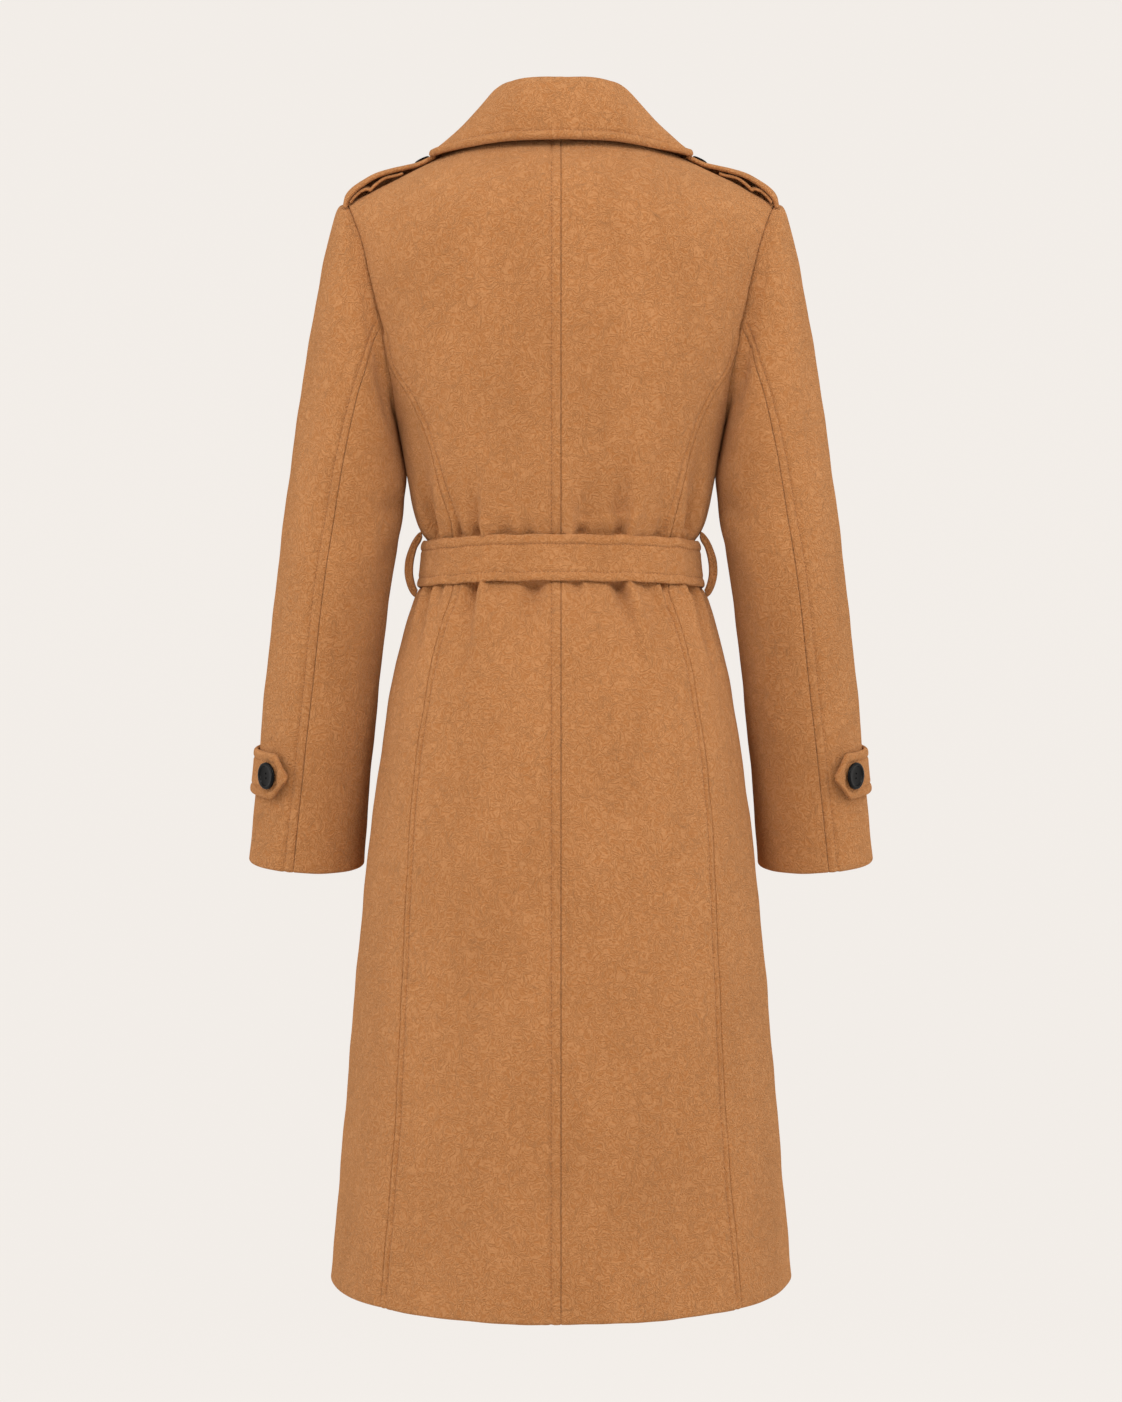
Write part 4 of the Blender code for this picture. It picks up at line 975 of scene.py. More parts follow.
def fit(piece, slot, *nodes):
    """The piece rides with the coat and stands for its solids, which it hides. The slot is not used."""
    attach(piece, "root")
    if nodes:
        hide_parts(*nodes)
    return piece


def sew(name, runs):
    """Topstitching along runs of surface points and outward directions, as one mesh of short sunk threads."""
    sewing = bpy.context.scene.coat_sewing
    points, faces = [], []

    def sample(at, run, values):
        return np.stack([np.interp(at, run, values[:, i]) for i in range(3)], axis=-1)

    for path, out in runs:
        run = run_lengths(path, 0)
        count = int(run[-1] / sewing.pitch)
        if count < 1:
            continue
        at = (np.arange(count) + 0.5) * run[-1] / count
        middle, normal = sample(at, run, path), unit(sample(at, run, out))
        forward = unit(sample(at + STITCH_REACH, run, path) - sample(at - STITCH_REACH, run, path))
        across = np.cross(normal, forward)
        for centre, on, aside, up in zip(middle, forward, across, normal):
            first = len(points)
            for place, share_left, rise in zip(*STITCH_RINGS.values()):
                ring = centre + on * place * sewing.stitch + up * rise * sewing.radius
                half = sewing.radius * share_left
                if half == 0:
                    points.append(ring)
                else:
                    points.extend(ring + way * half for way in (aside, up, -aside, -up))
            for i in range(4):
                j = (i + 1) % 4
                faces.append((first, first + 1 + j, first + 1 + i))
                for a in (first + 1, first + 5):
                    faces.append((a + i, a + j, a + 4 + j, a + 4 + i))
                faces.append((first + 13, first + 9 + i, first + 9 + j))
    mesh = mesh_of(name, np.array(points), faces, sharp=0)
    fit(new_object(name, mesh, bpy.data.materials["sewing_thread"]), "wool")


# ---- materials ----


def new_material(name):
    made = bpy.data.materials.new(name)
    made.use_nodes = True
    return made, made.node_tree, made.node_tree.nodes["Principled BSDF"]


def plug(tree, value, socket):
    """Links a socket to another, or sets it to a plain value."""
    if isinstance(value, bpy.types.NodeSocket):
        tree.links.new(value, socket)
    elif isinstance(value, tuple) and socket.type == "RGBA":
        socket.default_value = (*value, 1.0)
    else:
        socket.default_value = value


def add_node(tree, kind, **values):
    """A node with its settings and its inputs set by name."""
    node = tree.nodes.new(kind)
    for key, value in values.items():
        if hasattr(node, key):
            setattr(node, key, value)
        else:
            plug(tree, value, node.inputs[key.replace("_", " ")])
    return node


def noise(tree, place, size, detail, distortion=0.0, roughness=0.5):
    """Clouds from 0 to 1 whose spots are of a size in metres."""
    made = add_node(tree, "ShaderNodeTexNoise", Vector=place, Scale=1 / size, Detail=detail,
                    Distortion=distortion, Roughness=roughness)
    return made.outputs["Fac"]


def maths(tree, operation, *values, kind="ShaderNodeMath"):
    """The result of a sum on numbers and sockets."""
    made = add_node(tree, kind, operation=operation)
    for value, socket in zip(values, made.inputs):
        plug(tree, value, socket)
    return made.outputs[0]


def mixed(tree, fac, first, second, blend="MIX"):
    made = add_node(tree, "ShaderNodeMix", data_type="RGBA", blend_type=blend)
    for value, socket in ((fac, made.inputs[0]), (first, made.inputs[6]), (second, made.inputs[7])):
        plug(tree, value, socket)
    return made.outputs[2]


def ramped(tree, fac, low, high):
    """0 at the low value, 1 at the high one, and straight between them."""
    made = add_node(tree, "ShaderNodeMapRange", Value=fac, clamp=True, From_Min=low, From_Max=high)
    return made.outputs["Result"]


def make_wool():
    """Brushed wool: felted swirls and combed strands, soft clouds of colour and a faint sheen. Its colour
    follows the nap's height, lighter on the raised strands and darker between them: the wool's own uneven
    tone with painted light and shade of the nap's relief.
    """
    cloth = bpy.context.scene.coat_cloth
    _, tree, shader = new_material("brushed_wool")
    place = tree.nodes.new("ShaderNodeTexCoord").outputs["Object"]
    swirls = noise(tree, place, cloth.strand, 2.0, distortion=1.6, roughness=0.6)
    grain = noise(tree, place, cloth.strand * 0.45, 2.0, distortion=0.6, roughness=0.6)
    drawn_out = maths(tree, "MULTIPLY", place, UPRIGHT_CLOUDS, kind="ShaderNodeVectorMath")
    clouds = noise(tree, drawn_out, cloth.mottle, 2.5, distortion=0.5)
    felt = maths(tree, "MULTIPLY_ADD", swirls, FELT_SHARE, grain)
    drift = noise(tree, place, cloth.strand * 4.6, 1.5, distortion=0.8)
    lines = maths(tree, "SINE", maths(tree, "MULTIPLY", drift, COMBED_LINES))
    combings = maths(tree, "MULTIPLY_ADD", lines, COMBED_SHARE, felt)
    # painted light and shade: the heights that raise the nap also darken the colour in its hollows and
    # lighten it on its ridges, beside the wool's own uneven tone
    strands = mixed(tree, ramped(tree, combings, 0.55, 1.15), tuple(cloth.dark), tuple(cloth.light))
    clouded = mixed(tree, ramped(tree, clouds, 0.30, 0.75), DARK_CLOUD, LIGHT_CLOUD)
    tone_with_painted_nap_shade = mixed(tree, 1.0, strands, clouded, blend="MULTIPLY")
    tree.links.new(tone_with_painted_nap_shade, shader.inputs["Base Color"])
    nap = add_node(tree, "ShaderNodeBump", Strength=0.85, Distance=cloth.nap, Height=combings)
    tree.links.new(nap.outputs["Normal"], shader.inputs["Normal"])
    shader.inputs["Roughness"].default_value = 0.95
    shader.inputs["Specular IOR Level"].default_value = 0.0
    shader.inputs["Sheen Weight"].default_value = cloth.sheen
    shader.inputs["Sheen Roughness"].default_value = 0.35
    shader.inputs["Sheen Tint"].default_value = (1.0, 0.72, 0.46, 1.0)


def make_thread():
    """Matt sewing thread in the coat's own colour."""
    sewing = bpy.context.scene.coat_sewing
    _, tree, shader = new_material("sewing_thread")
    place = tree.nodes.new("ShaderNodeTexCoord").outputs["Object"]
    twist = noise(tree, place, 0.0009, 1.0)
    shade = tuple(c * 0.62 for c in sewing.thread)
    tree.links.new(mixed(tree, twist, shade, tuple(sewing.thread)), shader.inputs["Base Color"])
    nap = add_node(tree, "ShaderNodeBump", Strength=0.4, Distance=0.0003, Height=twist)
    tree.links.new(nap.outputs["Normal"], shader.inputs["Normal"])
    shader.inputs["Roughness"].default_value = 0.75
    shader.inputs["Specular IOR Level"].default_value = 0.2


def make_plastic():
    """Polished black plastic with the faint cloudiness and fine scuffs of a moulded button."""
    trim = bpy.context.scene.coat_trim
    _, tree, shader = new_material("polished_plastic")
    place = tree.nodes.new("ShaderNodeTexCoord").outputs["Object"]
    clouds = noise(tree, place, 0.006, 3.0, distortion=0.6)
    scuffs = noise(tree, place, 0.0012, 4.0)
    deep = tuple(trim.plastic)
    smoky = tuple(c * 1.6 for c in trim.plastic)
    tree.links.new(mixed(tree, ramped(tree, clouds, 0.4, 0.8), deep, smoky), shader.inputs["Base Color"])
    rough = add_node(tree, "ShaderNodeMapRange", Value=scuffs, To_Min=trim.gloss * 0.7,
                     To_Max=trim.gloss * 1.7)
    tree.links.new(rough.outputs["Result"], shader.inputs["Roughness"])
    marks = add_node(tree, "ShaderNodeBump", Strength=0.15, Distance=0.0001, Height=scuffs)
    tree.links.new(marks.outputs["Normal"], shader.inputs["Normal"])
    shader.inputs["Specular IOR Level"].default_value = 0.11
    shader.inputs["Coat Weight"].default_value = 0.03
    shader.inputs["Coat Roughness"].default_value = 0.08


def make_paper():
    """Seamless pale studio paper with light behind it."""
    studio = bpy.context.scene.coat_studio
    made, tree, shader = new_material("studio_paper")
    place = tree.nodes.new("ShaderNodeTexCoord").outputs["Object"]
    fibre = noise(tree, place, 0.4, 2.0)
    paper = tuple(studio.paper)
    tree.links.new(mixed(tree, fibre, tuple(c * 0.995 for c in paper), paper), shader.inputs["Base Color"])
    shader.inputs["Roughness"].default_value = 1.0
    shader.inputs["Specular IOR Level"].default_value = 0.0
    shader.inputs["Emission Color"].default_value = (*studio.glow, 1.0)
    shader.inputs["Emission Strength"].default_value = studio.glow_strength
    made.cycles.emission_sampling = "NONE"
    return made


# ---- the body's cloth ----


def body_rows(top_z=PANEL_TOP_Z):
    """Heights of the rows from the hem's fold up to a top, closer together at the belt."""
    spacing = bpy.context.scene.coat_cloth.row_spacing
    ends = [*ROW_STRETCHES["z"], top_z]
    rows = []
    for low, high, part in zip(ends, ends[1:], ROW_STRETCHES["share"]):
        rows.append(np.linspace(low, high, max(2, int((high - low) / (spacing * part))), endpoint=False))
    return np.concatenate([*rows, ends[-1:]])


class Panel:
    """One panel of the body: a grid of places, with the cloth worked out on it."""

    def __init__(self, place, side, near, far, start_profile, end_profile, far_scale=1.0, sink=None,
                 thickness=None, top_profile=None):
        cloth = bpy.context.scene.coat_cloth
        angle, z = place(across_row(81))
        shares, from_start, from_end = spaced(body_base(angle, z), near, far, cloth.column_spacing, far_scale)
        angle, z = place(shares)
        point, normal = facing(angle, z, side)
        if sink is not None:
            point = point - normal * sink(point)[..., None]
        self.smooth = point
        to_top = run_lengths(point[::-1], 0)[::-1]
        relief = start_profile(from_start) + end_profile(from_end, point[..., 2])
        if top_profile is None:
            relief = relief + seam_profile(to_top, stitched=0.0)
        else:
            relief = relief + top_profile(to_top, z)
        to_hem = run_lengths(point, 0)
        relief = np.maximum(relief, -UNDERARM_DEPTH) * hem_share(to_hem) + ripple(point)
        wall = behind(relief) if thickness is None else behind(relief, thickness(from_start))
        outer = point + normal * relief[..., None]
        inner = point - normal * wall[..., None]
        onward = unit(point[0] - point[2])
        under_out, under_in = turned_end(point[0], normal[0], onward, relief[0])
        self.outer, self.normal = outer, normal
        self.grids = np.concatenate([under_out[::-1], outer]), np.concatenate([under_in[::-1], inner])

    def seam_run(self, column, rows=slice(None)):
        """A line of sewing down one of its columns."""
        return self.outer[rows, column], self.normal[rows, column]


def lower_and_upper(shares, count):
    """The shares of a panel's lower rows, count of them, and of its upper rows. One row stands for both."""
    if len(shares) == 1:
        return shares, shares
    return shares[:count], shares[count:]


def back_place(lower_z, betas):
    """Angles and heights of a back panel, from the middle seam out to the back seam and the armhole."""

    def place(shares):
        seam_x = along(BACK_SEAM, "x", lower_z)[:, None] - SEAM_GAP / 2
        lower, upper = lower_and_upper(shares, len(lower_z))
        neck_turn = np.clip(upper / NECK_SHARE, 0, 1) * math.pi / 2
        neck_x = NECK_HALF_WIDTH * np.sin(neck_turn)
        neck_z = ridge_z(neck_x) - shoulder_fall(neck_x, NECK_BACK_Y * np.cos(neck_turn))
        out = (upper - NECK_SHARE) / (1 - NECK_SHARE)
        shoulder_x = NECK_HALF_WIDTH + (SHOULDER_POINT_X - NECK_HALF_WIDTH) * out
        top_x = np.where(out < 0, neck_x, shoulder_x)
        top_z = np.where(out < 0, neck_z, ridge_z(shoulder_x))
        edge_z = armhole_z(betas)[:, None]
        rise = (edge_z - BACK_SEAM_TOP_Z) / (SHOULDER_POINT_Z - BACK_SEAM_TOP_Z)
        turn = (betas / SEAM_TOP_BETA)[:, None]
        edge_x = along(ARMHOLE, "back_x", edge_z) - SEAM_GAP / 2
        upper_x = edge_x * (upper * turn + top_x / SHOULDER_POINT_X * (1 - turn))
        upper_z = BACK_SEAM_TOP_Z + (top_z - BACK_SEAM_TOP_Z) * rise
        x = np.concatenate([seam_x * lower, upper_x])
        z = np.concatenate([lower_z[:, None] + 0 * (seam_x * lower), upper_z])
        return angle_at(np.maximum(x, SEAM_GAP / 8), z), z

    return place


def side_place(lower_z, rises):
    """Angles and heights of a side panel, from the back seam to the side seam under the arm."""

    def place(shares):
        gap = SEAM_GAP / 8 / SIDE_PANEL_WIDTH
        lower, upper = lower_and_upper(shares, len(lower_z))
        seam = angle_at(along(BACK_SEAM, "x", lower_z), lower_z)[:, None]
        lower_angle = seam * (1 - gap) * (1 - lower)
        top_z = armhole_z(SEAM_TOP_BETA + (math.pi - SEAM_TOP_BETA) * upper)
        top_angle = angle_at(along(ARMHOLE, "back_x", top_z), top_z)
        top_shares = 1 - top_angle / angle_at(along(BACK_SEAM, "x", top_z), top_z)
        rise = rises[:, None]
        upper_z = PANEL_TOP_Z + (top_z - PANEL_TOP_Z) * rise
        part = np.maximum(upper * (1 - rise) + top_shares * rise, gap)
        upper_angle = angle_at(along(BACK_SEAM, "x", upper_z), upper_z) * (1 - part)
        z = np.concatenate([lower_z[:, None] + 0 * lower_angle, upper_z - SEAM_GAP / 8 * rise])
        return np.concatenate([lower_angle, upper_angle]), z

    return place


def front_place(lower_z, places):
    """Angles and heights of a front panel, from its free edge to the side seam and the armhole.

    The upper rows' places run from 0 at the underarm to ARMHOLE_ROWS at the shoulder."""

    def place(shares):
        lower, upper = lower_and_upper(shares, len(lower_z))
        edge_angle = angle_at(along(FRONT_EDGE, "x", lower_z), lower_z)[:, None]
        lower_angle = edge_angle * (1 - lower)
        row = places[:, None]
        rise = 1 - (1 - (row + 1) / (ARMHOLE_ROWS + 1)) ** 1.6
        beta = -math.pi + math.pi * np.maximum(row, 0) / ARMHOLE_ROWS
        below = np.clip(-row, 0, 1)
        arm_z = armhole_z(beta) * (1 - below) + PANEL_TOP_Z * below
        arm_x = np.where(row < 0, along(BODY, "half_width", arm_z), along(ARMHOLE, "front_x", arm_z))
        arm_x = arm_x - SEAM_GAP / 8
        edge_x = along(FRONT_EDGE, "x", PANEL_TOP_Z * (1 - rise))
        top_z = ridge_z(NECK_HALF_WIDTH + (SHOULDER_POINT_X - NECK_HALF_WIDTH) * upper)
        x = edge_x + (arm_x - edge_x) * upper
        z = PANEL_TOP_Z + (top_z - PANEL_TOP_Z) * rise
        z = z + (arm_z - z) * upper**3
        upper_angle = angle_at(x, z)
        angle = np.concatenate([lower_angle, upper_angle])
        return -np.maximum(angle, TINY), np.concatenate([lower_z[:, None] + 0 * lower_angle, z])

    return place


def front_sink(point):
    """How far a left front piece sinks to pass beneath the right front, and above the break its lapel too."""
    x, z = point[..., 0], point[..., 2]
    cover = -along(FRONT_EDGE, "x", z)
    depth = TUCK_DEPTH + LAPEL_TUCK_DEPTH * ease((z - LAPEL_BREAK_Z + 0.03) / 0.03)
    return depth * (1 - ease((x - cover - 0.002) / TUCK_LENGTH))


def make_back():
    """Two back panels, joined down the middle and topstitched beside their seams."""
    wool = bpy.data.materials["brushed_wool"]
    runs = []
    for side, word in SIDES:
        lower_z = body_rows(BACK_SEAM_TOP_Z)
        betas = SEAM_TOP_BETA * (1 - np.linspace(0, 1, 44)[1:])
        is_armhole = np.concatenate([0 * lower_z, 1 + 0 * betas])[:, None]
        in_skirt = ease((BELT_BOTTOM_Z - 0.012 - lower_z) / 0.03)
        to_curve = ease((BACK_SEAM_TOP_Z - lower_z) / 0.05)
        kept = 1 - (1 - BODICE_STITCH_SHARE) * to_curve * (1 - in_skirt)
        kept = kept - (1 - SKIRT_STITCH_SHARE) * in_skirt
        scale = np.concatenate([kept, 1 + 0 * betas])[:, None]

        def start_profile(distance, stitched=float(side > 0)):
            return seam_profile(distance, stitched=stitched)

        def end_profile(distance, z, is_armhole=is_armhole):
            return seam_profile(distance) * (1 - is_armhole) + armhole_profile(distance, z) * is_armhole

        panel = Panel(back_place(lower_z, betas), side, BESIDE_STITCHED, BESIDE_STITCHED, start_profile,
                      end_profile, scale)
        piece = fit(add_wall(f"back_cloth_{word}", *panel.grids, wool), "wool", f"back_{word}")
        stitch = BESIDE_STITCHED.index(STITCH_LINE)
        runs.append(panel.seam_run(-1 - stitch, slice(2, len(lower_z) - 2)))
        if side > 0:
            runs.append(panel.seam_run(stitch, slice(2, -14)))
    sew("back_topstitching", runs)


def make_sides():
    """A side panel under each arm, between the curved back seam and the side seam."""
    wool = bpy.data.materials["brushed_wool"]
    for side, word in SIDES:
        lower_z = body_rows()
        rises = np.linspace(0, 1, 24)[1:] ** 0.8

        def profile(distance, z=None):
            return seam_profile(distance, stitched=0.0)

        panel = Panel(side_place(lower_z, rises), side, BESIDE_PLAIN, BESIDE_PLAIN, profile, profile,
                      top_profile=armhole_profile)
        piece = fit(add_wall(f"side_cloth_{word}", *panel.grids, wool), "wool", f"side_back_{word}")


def make_fronts():
    """The two fronts, the wearer's right one over the left, topstitched along their free edges."""
    wool = bpy.data.materials["brushed_wool"]
    runs = []
    for side, word in SIDES:
        lower_z = body_rows()
        places = np.linspace(-1, ARMHOLE_ROWS, 50)[1:]

        def start_profile(distance):
            edge = -FRONT_EDGE_DROP * (1 - rounded(distance, FRONT_EDGE_ROUND))
            sewn = -bump((distance - STITCH_LINE) / 0.0010) + 0.8 * bump((distance - 0.0045) / 0.0024)
            return edge + STITCH_DEPTH * sewn

        def end_profile(distance, z):
            return seam_profile(distance, stitched=0.0)

        def thickness(distance):
            return WALL + 0.0004 * bump(distance / 0.03) - 0.0012 * (1 - rounded(distance, FRONT_EDGE_ROUND))

        panel = Panel(front_place(lower_z, places), side, BESIDE_STITCHED, BESIDE_PLAIN, start_profile,
                      end_profile, sink=front_sink if side > 0 else None, thickness=thickness)
        piece = fit(add_wall(f"front_cloth_{word}", *panel.grids, wool), "wool", f"front_{word}")
        stitch = BESIDE_STITCHED.index(STITCH_LINE)
        if side < 0:
            runs.append(panel.seam_run(stitch, slice(2, len(lower_z))))
    sew("front_topstitching", runs)


def make_lapels():
    """A lapel on each front, rolled back along the front's edge and topstitched round its outline."""
    wool = bpy.data.materials["brushed_wool"]
    runs = []
    for side, word in SIDES:
        roll_z, outer_x, outer_z = rows_through(LAPEL, 97).T[:, :, None]
        roll_x = along(FRONT_EDGE, "x", roll_z) + REST_GAP

        def place(shares):
            return roll_x * (1 - shares) + outer_x * shares, roll_z * (1 - shares) + outer_z * shares

        x, z = place(across_row(81))
        flat = facing(-angle_at(x, z), z, side)[0]
        shares, _, to_edge = spaced(flat, BESIDE_PLAIN[:1] + BESIDE_PLAIN[6:], BESIDE_BAND, LAPEL_COLUMNS)
        x, z = place(shares)
        mid, normal = facing(-angle_at(x, z), z, side, LAPEL_GAP + WALL / 2)
        if side > 0:
            mid = mid - normal * front_sink(mid)[..., None]
        from_top = run_lengths(mid[::-1], 0)[::-1]
        near = np.minimum(to_edge, from_top)
        half = banded(near, WALL / 2, LAPEL_PUFF)
        outer, inner = mid + normal * half[..., None], mid - normal * (np.minimum(half, WALL / 2))[..., None]
        roll_out, roll_in = [], []
        radius = LAPEL_GAP + WALL
        inward = unit(mid[:, 0] - mid[:, 2])
        centre = mid[:, 0] - normal[:, 0] * radius
        for phi in np.linspace(0, ROLL_TURN, 9)[1:]:
            out = normal[:, 0] * math.cos(phi) + inward * math.sin(phi) * ROLL_WIDTH
            roll_out.append(centre + out * (radius + half[:, :1]))
            roll_in.append(centre + out * (radius - half[:, :1]))
        outer = np.concatenate([np.array(roll_out[::-1]).transpose(1, 0, 2), outer], axis=1)
        inner = np.concatenate([np.array(roll_in[::-1]).transpose(1, 0, 2), inner], axis=1)
        piece = fit(add_wall(f"lapel_cloth_{word}", outer, inner, wool), "wool", f"lapel_{word}")
        stitch = BESIDE_BAND.index(STITCH_LINE)
        column = outer.shape[1] - 1 - stitch
        path, out = outer[2:-8, column], normal[2:-8, mid.shape[1] - 1 - stitch]
        runs.append((path, out))
    sew("lapel_topstitching", runs)


# ---- the sleeves ----


def sleeve_points(beta, step):
    """The sleeve's surface. Beta is round it, from 0 on the outside over the back, and step is along it."""
    edge, edge_normal = armhole(beta)
    rings = [edge + (SEAM_GAP / 4, 0, 0)]
    for outer_x, outer_z, inner_x, inner_z, middle_y, half_depth, back_drop in zip(*SLEEVE.values()):
        x = (outer_x + inner_x) / 2 + (outer_x - inner_x) / 2 * np.cos(beta)
        y = middle_y + half_depth * np.sin(beta)
        z = (outer_z + inner_z) / 2 + (outer_z - inner_z) / 2 * np.cos(beta) - back_drop * np.sin(beta)
        rings.append(np.stack([x, y, z], axis=-1))
    return along_rings(np.array(rings), step), edge_normal


def sleeve_surface(beta, step):
    """Points and outward directions of the sleeve's outer face, which turn into the body's at the armhole."""
    point, edge_normal = sleeve_points(beta, step)
    around = sleeve_points(beta + SMALL_STEP, step)[0] - sleeve_points(beta - SMALL_STEP, step)[0]
    low = np.maximum(step - SMALL_STEP, 0)
    down = sleeve_points(beta, low + 2 * SMALL_STEP)[0] - sleeve_points(beta, low)[0]
    part = ease(step / CROWN_STEPS)[..., None]
    return point, unit(edge_normal * (1 - part) + unit(np.cross(down, around)) * part)


def creases(beta, step, side):
    """How far the sleeve's creases move its cloth out. The two sleeves crease a little differently."""
    degrees = np.degrees(beta)
    total = 0 * degrees
    for angle, place, wide, long_way, slant, height in zip(*CREASES.values()):
        if side < 0:
            angle, place, height = angle + 9 * math.sin(angle), place + 0.25 * math.cos(angle), height * 0.9
        along_it = step - place
        aside = (degrees - angle - slant * along_it + 180) % 360 - 180
        total = total + height * bump(aside / wide) * bump(along_it / long_way)
    return total * ease(step / 0.7)


def make_sleeves():
    """A two-piece sleeve on each side, topstitched beside its back seam and turned up at the cuff."""
    wool = bpy.data.materials["brushed_wool"]
    cloth = bpy.context.scene.coat_cloth
    last = len(SLEEVE["outer_x"]) - HEM_FOLD / RING_SPACING
    below_crown = np.linspace(CROWN_STEPS, last, int(SLEEVE_LENGTH / cloth.row_spacing))
    steps = np.concatenate([np.linspace(0, CROWN_STEPS, 22)[:-1], below_crown])[:, None]
    back_seam = np.radians(through(SLEEVE_BACK_SEAM["ring"], SLEEVE_BACK_SEAM["angle"], steps[:, 0]))[:, None]
    pieces = (
        ("top", SLEEVE_FRONT_SEAM, back_seam, BESIDE_STITCHED),
        ("under", back_seam, SLEEVE_FRONT_SEAM + 2 * math.pi, BESIDE_PLAIN),
    )
    runs = []
    for side, word in SIDES:
        for stem, start, end, beside_end in pieces:

            def place(shares, start=start, end=end):
                return start * (1 - shares) + end * shares

            sample = place(across_row(61))
            flat = sleeve_points(sample, steps + 0 * sample)[0]
            shares, from_start, from_end = spaced(flat, BESIDE_PLAIN, beside_end, cloth.column_spacing)
            beta = place(shares)
            step = steps + 0 * beta
            point, normal = sleeve_surface(beta, step)
            down = run_lengths(point, 0)
            smooth = point + normal * creases(beta, step, side)[..., None]
            relief = seam_profile(from_start, stitched=0.0)
            relief = relief + seam_profile(from_end, stitched=float(stem == "top"))
            on_back = ease(np.sin(beta) / 0.35 + 0.5)
            at_seam = armhole_profile(down, armhole_z(beta))
            relief = relief + at_seam * on_back + seam_profile(down, stitched=0.0) * (1 - on_back)
            relief = np.maximum(relief, -UNDERARM_DEPTH) * hem_share(down[-1:] - down) + ripple(point)
            outer, inner = smooth + normal * relief[..., None], smooth - normal * behind(relief)[..., None]
            onward = unit(smooth[-1] - smooth[-3])
            under_out, under_in = turned_end(smooth[-1], normal[-1], onward, relief[-1])
            mirror = np.array((side, 1, 1))
            outer_grid = np.concatenate([outer, under_out]) * mirror
            inner_grid = np.concatenate([inner, under_in]) * mirror
            piece = add_wall(f"sleeve_{stem}_cloth_{word}", outer_grid, inner_grid, wool)
            fit(piece, "wool", f"sleeve_{stem}_{word}")
            if stem == "top":
                stitch = -1 - BESIDE_STITCHED.index(STITCH_LINE)
                runs.append((outer[6:-1, stitch] * mirror, normal[6:-1, stitch] * mirror))
    sew("sleeve_topstitching", runs)


def tab_middle(beta, across):
    """The middle surface of the left sleeve's tab, which stands off a little towards its point.

    Beta is round the sleeve and across is in metres from the tab's centre line."""
    step = TAB_RING + across / RING_SPACING
    point, normal = sleeve_surface(beta, step + 0 * beta)
    to_point = np.clip((beta - math.radians(TAB_LIFT_START)) / math.radians(TAB_END - TAB_LIFT_START), 0, 1)
    wave = 0.0005 * np.sin(beta * 7.0) * np.cos(across / TAB_HALF_WIDTH)
    return point + normal * (REST_GAP + TAB_THICKNESS / 2 + TAB_LIFT * to_point**2 + wave)[..., None]


def tab_outward(beta, across):
    """The direction straight out of the tab."""
    around = tab_middle(beta + SMALL_STEP, across) - tab_middle(beta - SMALL_STEP, across)
    down = tab_middle(beta, across + SMALL_STEP) - tab_middle(beta, across - SMALL_STEP)
    return unit(np.cross(down, around))


def make_tabs():
    """A strap round each lower sleeve that ends in a point on the back, topstitched round its outline."""
    wool = bpy.data.materials["brushed_wool"]
    near_point = TAB_END - TAB_POINT_TURN * np.linspace(1, 0, 34) ** 1.3
    strip = np.linspace(TAB_START, TAB_END - TAB_POINT_TURN, 60)[:-1]
    beta = np.radians(np.concatenate([strip, near_point]))[:, None]
    to_point = (beta[-1] - beta) * TAB_RADIUS
    part = np.clip(to_point / TAB_POINT, 0, 1)
    half = TAB_HALF_WIDTH * (0.07 + 0.93 * part - 0.035 * bump((part - 1) / 0.12))

    def place(shares):
        return half * (2 * shares - 1)

    across = place(across_row(41))
    shares, near, far = spaced(tab_middle(beta + 0 * across, across), BESIDE_BAND, BESIDE_BAND, BAND_COLUMNS)
    across = place(shares)
    mid, normal = tab_middle(beta + 0 * across, across), tab_outward(beta + 0 * across, across)
    to_tip = run_lengths(mid[::-1], 0)[::-1]
    border = np.minimum(np.minimum(near, far), np.minimum(to_tip * TAB_POINT_SLOPE, run_lengths(mid, 0)))
    puffed = banded(border, TAB_THICKNESS / 2 - 0.0002, TAB_PUFF)
    under = np.minimum(puffed, TAB_THICKNESS / 2)
    outer, inner = mid + normal * puffed[..., None], mid - normal * under[..., None]
    runs = []
    for side, word in SIDES:
        mirror = np.array((side, 1, 1))
        piece = fit(add_wall(f"sleeve_tab_cloth_{word}", outer * mirror, inner * mirror, wool), "wool",
                    f"sleeve_tab_{word}")
        stitch = BESIDE_BAND.index(STITCH_LINE)
        straight = int(np.argmax(part[:, 0] < 0.95))
        for column in (stitch, outer.shape[1] - 1 - stitch):
            runs.append((outer[8:straight, column] * mirror, normal[8:straight, column] * mirror))
    sew("sleeve_tab_topstitching", runs)


# ---- the collar, the straps and the belt ----


def collar_lines(count):
    """Lines of the collar's middle surface, each from its neck seam over its fold to its free edge."""
    rows = rows_through(COLLAR, count)
    base, fold, edge, bulge = rows[:, 0:3], rows[:, 3:6], rows[:, 6:9], rows[:, 9:]
    up = np.array([0.0, 0.0, 1.0])
    out = unit((edge - fold) * (1, 1, 0))
    top = fold + out * 0.0040
    turn = top + out * 0.0045
    lines = [base, base * 0.6 + fold * 0.4, base * 0.2 + fold * 0.8 - out * 0.0005]
    lines += [fold - up * 0.0020, top + up * 0.0022, turn - up * 0.0012]
    for part in (0.22, 0.48, 0.76, 1.0):
        lines.append(turn * (1 - part) + edge * part + out * bulge * math.sin(math.pi * part))
    return np.stack(lines, axis=1)


